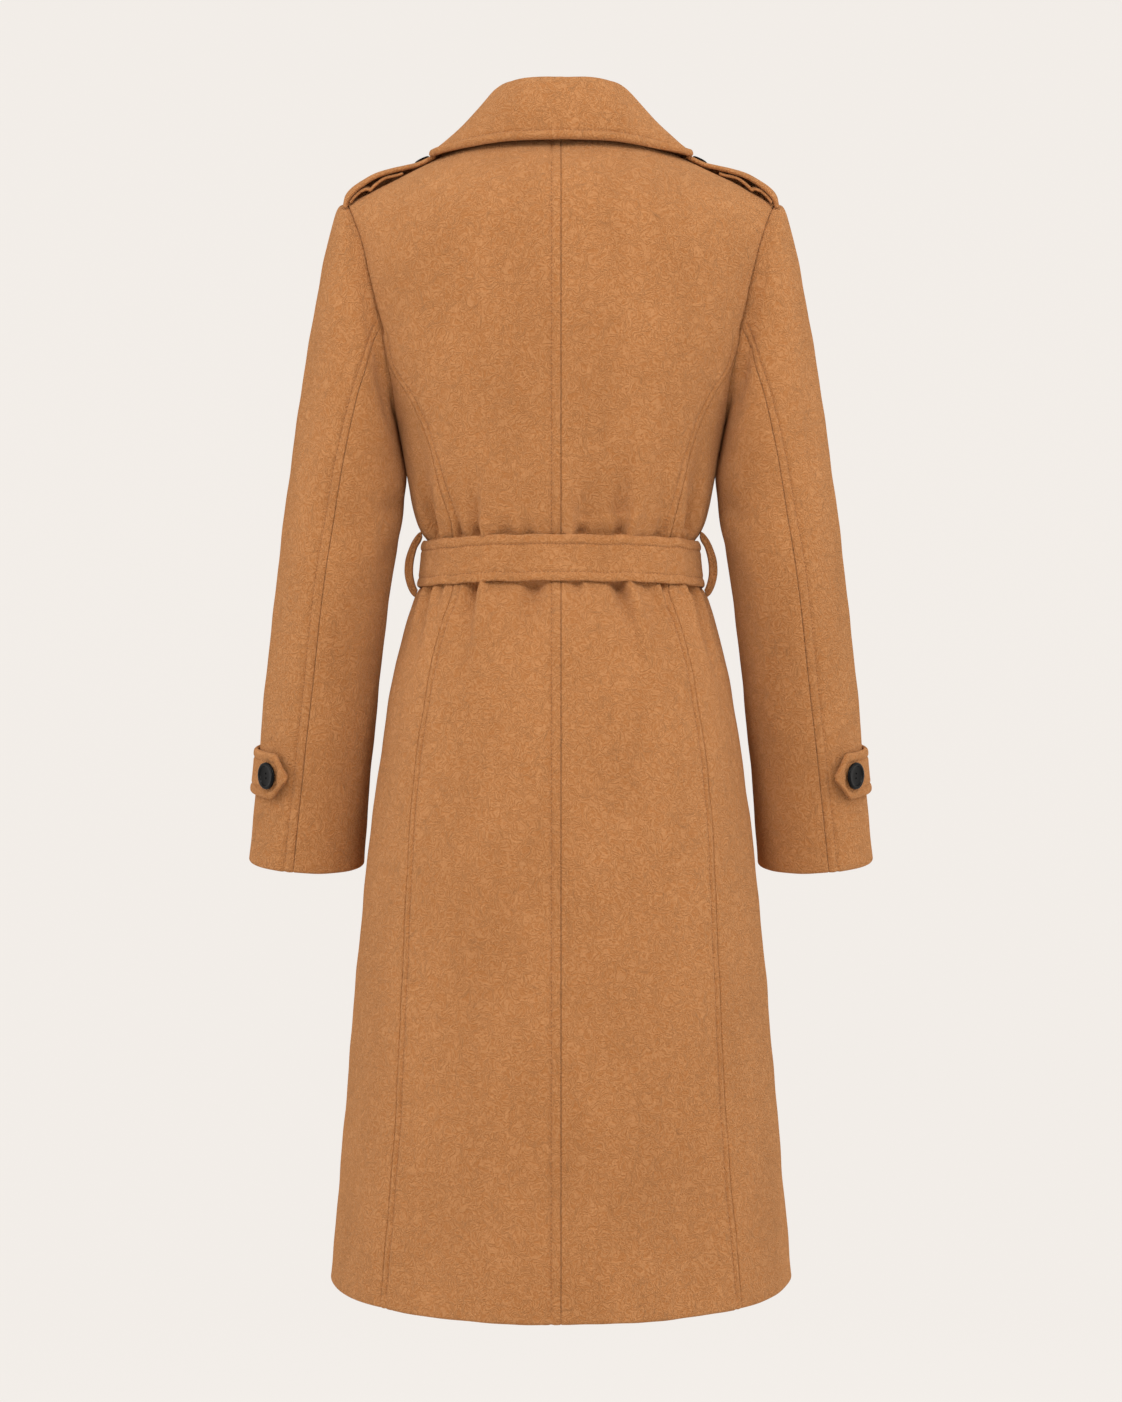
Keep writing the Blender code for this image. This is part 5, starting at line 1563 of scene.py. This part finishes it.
def make_collar():
    """The turn-down collar: one stand and fall, with a thick turned edge that is topstitched all along."""
    wool = bpy.data.materials["brushed_wool"]
    half_lines = collar_lines(100)
    lines = np.concatenate([half_lines[:0:-1] * (-1, 1, 1), half_lines]).transpose(1, 0, 2)
    fine = np.linspace(0, 1, 120)
    sample = through(np.arange(len(lines)), lines, fine * (len(lines) - 1)).transpose(1, 0, 2)
    shares, _, to_edge = spaced(sample, (0, 0.0006, 0.0015), BESIDE_BAND, COLLAR_COLUMNS)
    mid = np.array([[[np.interp(s, fine, row[:, i]) for i in range(3)] for s in share_row]
                    for row, share_row in zip(sample, shares)])
    along_edge = run_lengths(mid, 0)
    border = np.minimum(np.minimum(along_edge, along_edge[-1:] - along_edge), to_edge)
    in_fall = ease((0.052 - to_edge) / 0.02)
    half = banded(border, COLLAR_HALF_THICKNESS, COLLAR_PUFF * in_fall + 0.0001)
    normal = unit(np.cross(np.gradient(mid, axis=0), np.gradient(mid, axis=1)))
    wave = 0.0007 * np.sin(along_edge * 38 + 0.6) * np.sin(along_edge * 17 + 1.9)
    wave = wave * ease((0.05 - to_edge) / 0.05)
    shift = normal * wave[..., None]
    outer = mid + normal * half[..., None] + shift + normal * ripple(mid)[..., None]
    inner = mid - normal * half[..., None] + shift
    piece = fit(add_wall("collar_cloth", outer, inner, wool), "wool", "collar")
    stitch = outer.shape[1] - 1 - BESIDE_BAND.index(STITCH_LINE)
    sew("collar_topstitching", [(outer[9:-9, stitch], normal[9:-9, stitch])])


def strip_over_shoulder(table, count, half_width, band):
    """A strip's inner surface over the shoulder at the table's heights, with its edges' distances."""
    x, height = rows_through(table, count).T[:, :, None]

    def place(shares):
        y = half_width * (2 * shares - 1) + 0 * x
        return np.stack([x + 0 * y, y, ridge_z(x) - shoulder_fall(x + 0 * y, y) + REST_GAP + height], axis=-1)

    shares, near, far = spaced(place(across_row(41)), band, band, BAND_COLUMNS)
    inner = place(shares)
    normal = unit(np.cross(np.gradient(inner, axis=1), np.gradient(inner, axis=0)))
    normal = normal * np.sign(normal[..., 2:])
    return inner, normal, np.minimum(near, far)


def make_straps():
    """The shoulder straps, each with a second ply that hangs in waves beneath it."""
    wool = bpy.data.materials["brushed_wool"]
    runs = []
    inner, normal, to_side = strip_over_shoulder(STRAP, 90, STRAP_HALF_WIDTH, BESIDE_BAND)
    border = np.minimum(to_side, run_lengths(inner[::-1], 0)[::-1])
    mid = inner + normal * (STRAP_THICKNESS / 2)
    half = banded(border, STRAP_THICKNESS / 2 - 0.0002, STRAP_PUFF)
    strap = mid + normal * half[..., None], mid - normal * half[..., None]
    ply_inner, ply_normal, ply_border = strip_over_shoulder(LOWER_PLY, 80, LOWER_PLY_HALF_WIDTH,
                                                            BESIDE_PLAIN[:7])
    ply_mid = ply_inner + ply_normal * (LOWER_PLY_THICKNESS / 2)
    ply_half = LOWER_PLY_THICKNESS / 2 * np.maximum(rounded(ply_border, 0.0022), 0.05)
    ply = ply_mid + ply_normal * ply_half[..., None], ply_mid - ply_normal * ply_half[..., None]
    stitch = BESIDE_BAND.index(STITCH_LINE)
    for side, word in SIDES:
        mirror = np.array((side, 1, 1))
        piece = fit(add_wall(f"strap_cloth_{word}", strap[0] * mirror, strap[1] * mirror, wool), "wool",
                    f"epaulette_{word}")
        under = fit(add_wall(f"strap_lower_cloth_{word}", ply[0] * mirror, ply[1] * mirror, wool), "wool",
                    f"epaulette_lower_ply_{word}")
        for column in (stitch, strap[0].shape[1] - 1 - stitch):
            runs.append((strap[0][3:-9, column] * mirror, normal[3:-9, column] * mirror))
    sew("strap_topstitching", runs)


def make_belt():
    """The belt: one topstitched strip round the body from the buckle, over its own start to a pointed end."""
    wool = bpy.data.materials["brushed_wool"]
    near_point = BELT_TURN - BELT_END_TURN * np.linspace(1, 0, 40) ** 1.4
    strip = np.linspace(0, BELT_TURN - BELT_END_TURN, 300)[:-1]
    degrees = (BELT_START + np.concatenate([strip, near_point]))[:, None]
    point = np.clip((degrees[-1] - degrees) / BELT_POINT, 0.06, 1)
    angle = np.radians((degrees + 180) % 360 - 180)
    climb = ease((degrees - BELT_START - BELT_CLIMB_START) / BELT_CLIMB)
    lift = REST_GAP + (BELT_THICKNESS + REST_GAP) * climb

    def place(shares):
        part = 0.5 + (shares - 0.5) * 0.99 * point
        base_low = body_base(angle + 0 * part, BELT_BOTTOM_Z + 0 * part)
        base_high = body_base(angle + 0 * part, BELT_TOP_Z + 0 * part)
        out = body_normal(base_high)
        inner = (base_low * (1 - part[..., None]) + base_high * part[..., None]) + out * lift[..., None]
        return inner, out

    shares, near, far = spaced(place(across_row(41))[0], BESIDE_BAND, BESIDE_BAND, BAND_COLUMNS)
    inner, out = place(shares)
    to_tip = run_lengths(inner[::-1], 0)[::-1]
    border = np.minimum(np.minimum(near, far), to_tip * BELT_POINT_SLOPE)
    half = banded(border, BELT_THICKNESS / 2 - 0.0003, BELT_PUFF)
    turn = np.radians(degrees)
    waver = 0.0006 * np.sin(turn * 9 + 1.3) * np.sin(turn * 4 + 0.4) + 0.00035 * np.sin(turn * 23)
    mid = inner + out * (BELT_THICKNESS / 2 + 0.0002 + waver[..., None] * 0.8)
    ride_up = BELT_RISE * np.maximum(np.sin(angle), 0) ** 3
    mid = mid + np.array([0, 0, 1.0]) * (waver * 1.2 + ride_up)[..., None]
    outer, back = mid + out * half[..., None], mid - out * half[..., None]
    piece = fit(add_wall("belt_cloth", outer, back, wool), "wool", "belt")
    stitch = BESIDE_BAND.index(STITCH_LINE)
    straight = int(np.argmax(point[:, 0] < 0.97))
    sew("belt_topstitching", [(outer[2:straight, column], out[2:straight, column])
                              for column in (stitch, outer.shape[1] - 1 - stitch)])


def make_loops():
    """A narrow loop that stands out round the belt at each side seam, folded and stitched down its middle."""
    wool = bpy.data.materials["brushed_wool"]
    outer_x, outer_z, inner_x, inner_z = rows_through(BELT_LOOP, 64).T[:, :, None]
    width = np.linspace(-1, 1, 25)[None, :]
    edge = through(LOOP_EDGE["place"], LOOP_EDGE["thickness"], np.abs(width))
    middle_x, middle_z = (outer_x + inner_x) / 2, (outer_z + inner_z) / 2
    half_x, half_z = (outer_x - inner_x) / 2, (outer_z - inner_z) / 2
    y = BELT_LOOP_HALF_WIDTH * np.sign(width) * through(LOOP_EDGE["place"], LOOP_EDGE["out"], np.abs(width))
    y = y + 0 * middle_x
    outer = np.stack([middle_x + half_x * edge, y, middle_z + half_z * edge], axis=-1)
    inner = np.stack([middle_x - half_x * edge, y, middle_z - half_z * edge], axis=-1)
    stitched = np.stack([middle_x[:, 0], y[:, -1] - 0.0002, middle_z[:, 0]], axis=-1)[3:-3]
    runs = []
    for side, word in SIDES:
        mirror = np.array((side, 1, 1))
        piece = fit(add_wall(f"belt_loop_cloth_{word}", outer * mirror, inner * mirror, wool), "wool",
                    f"belt_loop_{word}")
        runs.append((stitched * mirror, np.array([[0.0, 1.0, 0.0]]) + 0 * stitched))
    sew("belt_loop_stitching", runs)


# ---- buttons and buckle ----


def turned_mesh(name, profile, segments):
    """A mesh turned from a profile of radii and heights, closed at both ends on the axis."""
    angles = np.linspace(0, 2 * math.pi, segments, endpoint=False)
    shape = bmesh.new()
    rings = []
    for radius, height in profile:
        if radius == 0:
            rings.append([shape.verts.new((0, 0, height))])
        else:
            points = [(radius * math.cos(a), radius * math.sin(a), height) for a in angles]
            rings.append([shape.verts.new(point) for point in points])
    for low, high in zip(rings, rings[1:]):
        for i in range(segments):
            j = (i + 1) % segments
            corners = (low[i % len(low)], low[j % len(low)], high[j % len(high)], high[i % len(high)])
            shape.faces.new(list(dict.fromkeys(corners)))
    mesh = bpy.data.meshes.new(name)
    face_out(mesh, shape)
    return mesh


def button_mesh(name, radius, holes):
    """A turned button with a raised rim and a dished face, drilled with holes round its middle."""
    studio, trim = bpy.context.scene.coat_studio, bpy.context.scene.coat_trim
    thickness = radius * BUTTON_THICKNESS
    rim = min(trim.rim, thickness * 0.45)
    profile = [(radius * across, thickness * up) for across, up in zip(*BUTTON_BACK.values())]
    profile += [(radius * (0.955 + 0.045 * math.cos(a)), thickness * (0.45 + 0.33 * math.sin(a)))
                for a in np.radians(np.linspace(-90, 90, 9))]
    profile += [(radius * (0.85 + 0.12 * math.cos(a)), thickness - rim * (0.42 - 0.42 * math.sin(a)))
                for a in np.radians(np.linspace(15, 180, 9))]
    profile += [(radius * across, thickness - rim * down) for across, down in zip(*BUTTON_DISH.values())]
    blank = show(name + "_blank", turned_mesh(name, profile, studio.segments))
    hole = [(0, -0.01), (radius * HOLE_RADIUS, -0.01), (radius * HOLE_RADIUS, 0.01), (0, 0.01)]
    drills = []
    for i in range(holes):
        turn = 2 * math.pi * (i + 0.5) / holes
        cutter = show("drill", turned_mesh("drill", hole, 20))
        cutter.location = (radius * HOLE_PLACE * math.cos(turn), radius * HOLE_PLACE * math.sin(turn), 0)
        cut = blank.modifiers.new("drill", "BOOLEAN")
        cut.operation, cut.object, cut.solver = "DIFFERENCE", cutter, "EXACT"
        drills.append(cutter)
    bpy.context.view_layer.update()
    done = bpy.data.meshes.new_from_object(blank.evaluated_get(bpy.context.evaluated_depsgraph_get()))
    done.name = name
    for spare in (blank, *drills):
        bpy.data.objects.remove(spare)
    done.shade_smooth()
    done.set_sharp_from_angle(angle=math.radians(38))
    done.materials.clear()
    done.materials.append(bpy.data.materials["polished_plastic"])
    return done


def set_button(name, mesh, centre, normal, node):
    """A button on its seat, with its face turned out."""
    made = show(name, mesh)
    made.rotation_mode = "QUATERNION"
    made.rotation_quaternion = Vector(normal).to_track_quat("Z", "Y")
    made.location = centre
    return fit(made, "black_plastic", node)


def make_buttons():
    """Polished buttons on the sleeve tabs, the fronts and the shoulder straps."""
    big = button_mesh("coat_button", BUTTON_RADIUS, 2)
    small = button_mesh("strap_button", SMALL_BUTTON_RADIUS, 2)
    at_button = np.radians([[TAB_BUTTON]]), np.array([[0.0]])
    normal = tab_outward(*at_button)
    seat = tab_middle(*at_button) + normal * (TAB_THICKNESS / 2 + 0.0004)
    x, height = STRAP_BUTTON_X, through(STRAP["x"], STRAP["height"], STRAP_BUTTON_X)
    slope = (ridge_z(x + 0.002) - ridge_z(x - 0.002)) / 0.004
    strap_out = unit(np.array([-slope, 0.0, 1.0]))
    strap_seat = np.array([x, 0.0, ridge_z(x) + REST_GAP + height]) + strap_out * (STRAP_THICKNESS + 0.0002)
    for side, word in SIDES:
        mirror = np.array((side, 1, 1))
        set_button(f"tab_button_{word}", big, seat[0, 0] * mirror, normal[0, 0] * mirror,
                   f"sleeve_tab_button_{word}")
        set_button(f"strap_button_{word}", small, strap_seat * mirror, strap_out * mirror,
                   f"epaulette_button_{word}")
        for row, z in enumerate(FRONT_BUTTON_HEIGHTS, start=1):
            angle = -angle_at(np.array([FRONT_BUTTON_X * side]), z)
            place, out = body_surface(angle, np.array([z]), 0.0003)
            set_button(f"closing_button_{word}_{row}", big, place[0], out[0], f"front_button_{word}_{row}")


def make_buckle():
    """A plain frame, bent from round bar, on the belt's outer layer."""
    middle_z = (BELT_TOP_Z + BELT_BOTTOM_Z) / 2
    lift = 2 * (BELT_THICKNESS + REST_GAP) + REST_GAP + BUCKLE_BAR / 2
    seat, _ = body_surface(np.array([-math.pi / 2]), np.array([middle_z]), lift)
    line = []
    for turn in np.radians(np.arange(0, 360, 7.5) + 3.75):
        x = math.copysign(BUCKLE_HALF_WIDTH - BUCKLE_CORNER, math.cos(turn)) + BUCKLE_CORNER * math.cos(turn)
        z = math.copysign(BUCKLE_HALF_HEIGHT - BUCKLE_CORNER, math.sin(turn)) + BUCKLE_CORNER * math.sin(turn)
        line.append((x, 0.0, z))
    line = np.array(line)
    ahead = unit(np.roll(line, -1, axis=0) - np.roll(line, 1, axis=0))
    side_way = np.cross(ahead, (0, 1, 0))
    around = np.radians(np.linspace(0, 360, 24, endpoint=False))
    rings = (line[:, None] + side_way[:, None] * np.cos(around)[None, :, None] * BUCKLE_BAR / 2
             + np.array([0, 1.0, 0]) * np.sin(around)[None, :, None] * BUCKLE_BAR / 2)
    grid = np.arange(rings.size // 3).reshape(rings.shape[:2])
    onward, beside = np.roll(grid, -1, axis=0), np.roll(grid, -1, axis=1)
    faces = np.stack([grid, beside, np.roll(onward, -1, axis=1), onward], axis=-1).reshape(-1, 4)
    mesh = mesh_of("belt_buckle_frame", rings, faces.tolist(), sharp=0)
    made = new_object("belt_buckle_frame", mesh, bpy.data.materials["polished_plastic"])
    shape = bmesh.new()
    shape.from_mesh(mesh)
    face_out(mesh, shape)
    made.location = seat[0]
    fit(made, "black_plastic", "belt_buckle")


# ---- the studio ----


def add_light(name, place, target_z, size, watts, tint):
    """A soft light that points at the coat's middle line."""
    data = bpy.data.lights.new(name, "AREA")
    data.shape = "RECTANGLE"
    data.size, data.size_y = size
    data.energy = watts
    data.color = tint
    lamp = show(name, data)
    lamp.location = place
    lamp.rotation_euler = (Vector((0, 0, target_z)) - Vector(place)).to_track_quat("-Z", "Y").to_euler()


def make_backdrop():
    """A round bowl of seamless paper: a flat floor that bends up into a wall all round."""
    flat = BACKDROP_RADIUS - BACKDROP_BEND
    profile = [(0, FLOOR_Z), (1.5, FLOOR_Z), (flat, FLOOR_Z)]
    for turn in np.radians(np.linspace(0, 90, 17))[1:]:
        height = FLOOR_Z + BACKDROP_BEND - BACKDROP_BEND * math.cos(turn)
        profile.append((flat + BACKDROP_BEND * math.sin(turn), height))
    profile += [(BACKDROP_RADIUS, 1.5), (BACKDROP_RADIUS, BACKDROP_TOP_Z)]
    mesh = turned_mesh("backdrop", profile, 96)
    mesh.shade_smooth()
    new_object("backdrop", mesh, make_paper())


def make_studio():
    """A seamless pale backdrop, soft lights and the camera."""
    scene = bpy.context.scene
    studio = scene.coat_studio
    scene.view_settings.view_transform = "Standard"
    scene.view_settings.look = "None"
    make_backdrop()
    world = bpy.data.worlds.new("studio_air")
    world.use_nodes = True
    sky = world.node_tree.nodes["Background"]
    sky.inputs["Color"].default_value = (*WARM_WHITE, 1.0)
    sky.inputs["Strength"].default_value = studio.ambient
    scene.world = world
    for name, place, target_z, size, setting, part, tint in LIGHTS:
        add_light(name, place, target_z, size, getattr(studio, setting) * part, tint)

    data = bpy.data.cameras.new("camera")
    data.lens = data.sensor_width * studio.distance / studio.view_height
    camera = show("camera", data)
    camera.location = (0, studio.distance, studio.height)
    camera.rotation_euler = (math.pi / 2, 0, math.pi)
    scene.camera = camera


# ---- the add-on ----


def make_materials():
    """The wool, the thread and the plastic."""
    make_wool()
    make_thread()
    make_plastic()


class COAT_OT_materials(bpy.types.Operator):
    """Make the wool, the thread and the plastic"""

    bl_idname = "coat.materials"
    bl_label = "Materials"
    bl_options = {"REGISTER", "UNDO"}

    def execute(self, context):
        make_materials()
        return {"FINISHED"}


class COAT_OT_back(bpy.types.Operator):
    """Make the two back panels and the topstitching beside their seams"""

    bl_idname = "coat.back"
    bl_label = "Back panels"
    bl_options = {"REGISTER", "UNDO"}

    def execute(self, context):
        make_back()
        return {"FINISHED"}


class COAT_OT_sides(bpy.types.Operator):
    """Make the side panel under each arm"""

    bl_idname = "coat.sides"
    bl_label = "Side panels"
    bl_options = {"REGISTER", "UNDO"}

    def execute(self, context):
        make_sides()
        return {"FINISHED"}


class COAT_OT_fronts(bpy.types.Operator):
    """Make the two fronts, the wearer's right one over the left"""

    bl_idname = "coat.fronts"
    bl_label = "Fronts"
    bl_options = {"REGISTER", "UNDO"}

    def execute(self, context):
        make_fronts()
        return {"FINISHED"}


class COAT_OT_lapels(bpy.types.Operator):
    """Make the lapel that rolls back on each front"""

    bl_idname = "coat.lapels"
    bl_label = "Lapels"
    bl_options = {"REGISTER", "UNDO"}

    def execute(self, context):
        make_lapels()
        return {"FINISHED"}


class COAT_OT_sleeves(bpy.types.Operator):
    """Make a two-piece sleeve on each side, turned up at the cuff"""

    bl_idname = "coat.sleeves"
    bl_label = "Sleeves"
    bl_options = {"REGISTER", "UNDO"}

    def execute(self, context):
        make_sleeves()
        return {"FINISHED"}


class COAT_OT_tabs(bpy.types.Operator):
    """Make the strap round each lower sleeve, with its pointed end"""

    bl_idname = "coat.tabs"
    bl_label = "Sleeve tabs"
    bl_options = {"REGISTER", "UNDO"}

    def execute(self, context):
        make_tabs()
        return {"FINISHED"}


class COAT_OT_collar(bpy.types.Operator):
    """Make the turn-down collar with its thick topstitched edge"""

    bl_idname = "coat.collar"
    bl_label = "Collar"
    bl_options = {"REGISTER", "UNDO"}

    def execute(self, context):
        make_collar()
        return {"FINISHED"}


class COAT_OT_straps(bpy.types.Operator):
    """Make the shoulder straps and the waved ply beneath each"""

    bl_idname = "coat.straps"
    bl_label = "Shoulder straps"
    bl_options = {"REGISTER", "UNDO"}

    def execute(self, context):
        make_straps()
        return {"FINISHED"}


class COAT_OT_belt(bpy.types.Operator):
    """Make the topstitched belt round the waist"""

    bl_idname = "coat.belt"
    bl_label = "Belt"
    bl_options = {"REGISTER", "UNDO"}

    def execute(self, context):
        make_belt()
        return {"FINISHED"}


class COAT_OT_loops(bpy.types.Operator):
    """Make the narrow loop that holds the belt at each side seam"""

    bl_idname = "coat.loops"
    bl_label = "Belt loops"
    bl_options = {"REGISTER", "UNDO"}

    def execute(self, context):
        make_loops()
        return {"FINISHED"}


class COAT_OT_buttons(bpy.types.Operator):
    """Make the buttons of the tabs, the fronts and the straps"""

    bl_idname = "coat.buttons"
    bl_label = "Buttons"
    bl_options = {"REGISTER", "UNDO"}

    def execute(self, context):
        make_buttons()
        return {"FINISHED"}


class COAT_OT_buckle(bpy.types.Operator):
    """Make the plain buckle frame on the belt"""

    bl_idname = "coat.buckle"
    bl_label = "Buckle"
    bl_options = {"REGISTER", "UNDO"}

    def execute(self, context):
        make_buckle()
        return {"FINISHED"}


class COAT_OT_studio(bpy.types.Operator):
    """Make the pale backdrop, the soft lights and the camera"""

    bl_idname = "coat.studio"
    bl_label = "Studio"
    bl_options = {"REGISTER", "UNDO"}

    def execute(self, context):
        make_studio()
        return {"FINISHED"}


OPERATORS = (
    COAT_OT_materials,
    COAT_OT_back,
    COAT_OT_sides,
    COAT_OT_fronts,
    COAT_OT_lapels,
    COAT_OT_sleeves,
    COAT_OT_tabs,
    COAT_OT_collar,
    COAT_OT_straps,
    COAT_OT_belt,
    COAT_OT_loops,
    COAT_OT_buttons,
    COAT_OT_buckle,
    COAT_OT_studio,
)
GROUPS = (
    ("coat_cloth", CoatCloth),
    ("coat_sewing", CoatSewing),
    ("coat_trim", CoatTrim),
    ("coat_studio", CoatStudio),
)


class COAT_PT_pieces(bpy.types.Panel):
    """The coat's settings, and a button for each of its pieces."""

    bl_label = "Belted Trench Coat"
    bl_idname = "COAT_PT_pieces"
    bl_space_type = "VIEW_3D"
    bl_region_type = "UI"
    bl_category = "Coat"

    def draw(self, context):
        for name, group in GROUPS:
            box = self.layout.box()
            box.label(text=group.__doc__)
            for key in group.__annotations__:
                box.prop(getattr(context.scene, name), key)
        for kind in OPERATORS:
            self.layout.operator(kind.bl_idname, text=kind.bl_label)


def register():
    for name, group in GROUPS:
        bpy.utils.register_class(group)
        setattr(bpy.types.Scene, name, PointerProperty(type=group))
    for made in (*OPERATORS, COAT_PT_pieces):
        bpy.utils.register_class(made)


def unregister():
    for made in (COAT_PT_pieces, *reversed(OPERATORS)):
        bpy.utils.unregister_class(made)
    for name, group in reversed(GROUPS):
        delattr(bpy.types.Scene, name)
        bpy.utils.unregister_class(group)


def main():
    register()
    bpy.ops.coat.materials()
    bpy.ops.coat.back()
    bpy.ops.coat.sides()
    bpy.ops.coat.fronts()
    bpy.ops.coat.lapels()
    bpy.ops.coat.sleeves()
    bpy.ops.coat.tabs()
    bpy.ops.coat.collar()
    bpy.ops.coat.straps()
    bpy.ops.coat.belt()
    bpy.ops.coat.loops()
    bpy.ops.coat.buttons()
    bpy.ops.coat.buckle()
    bpy.ops.coat.studio()


if __name__ == "__main__":
    main()
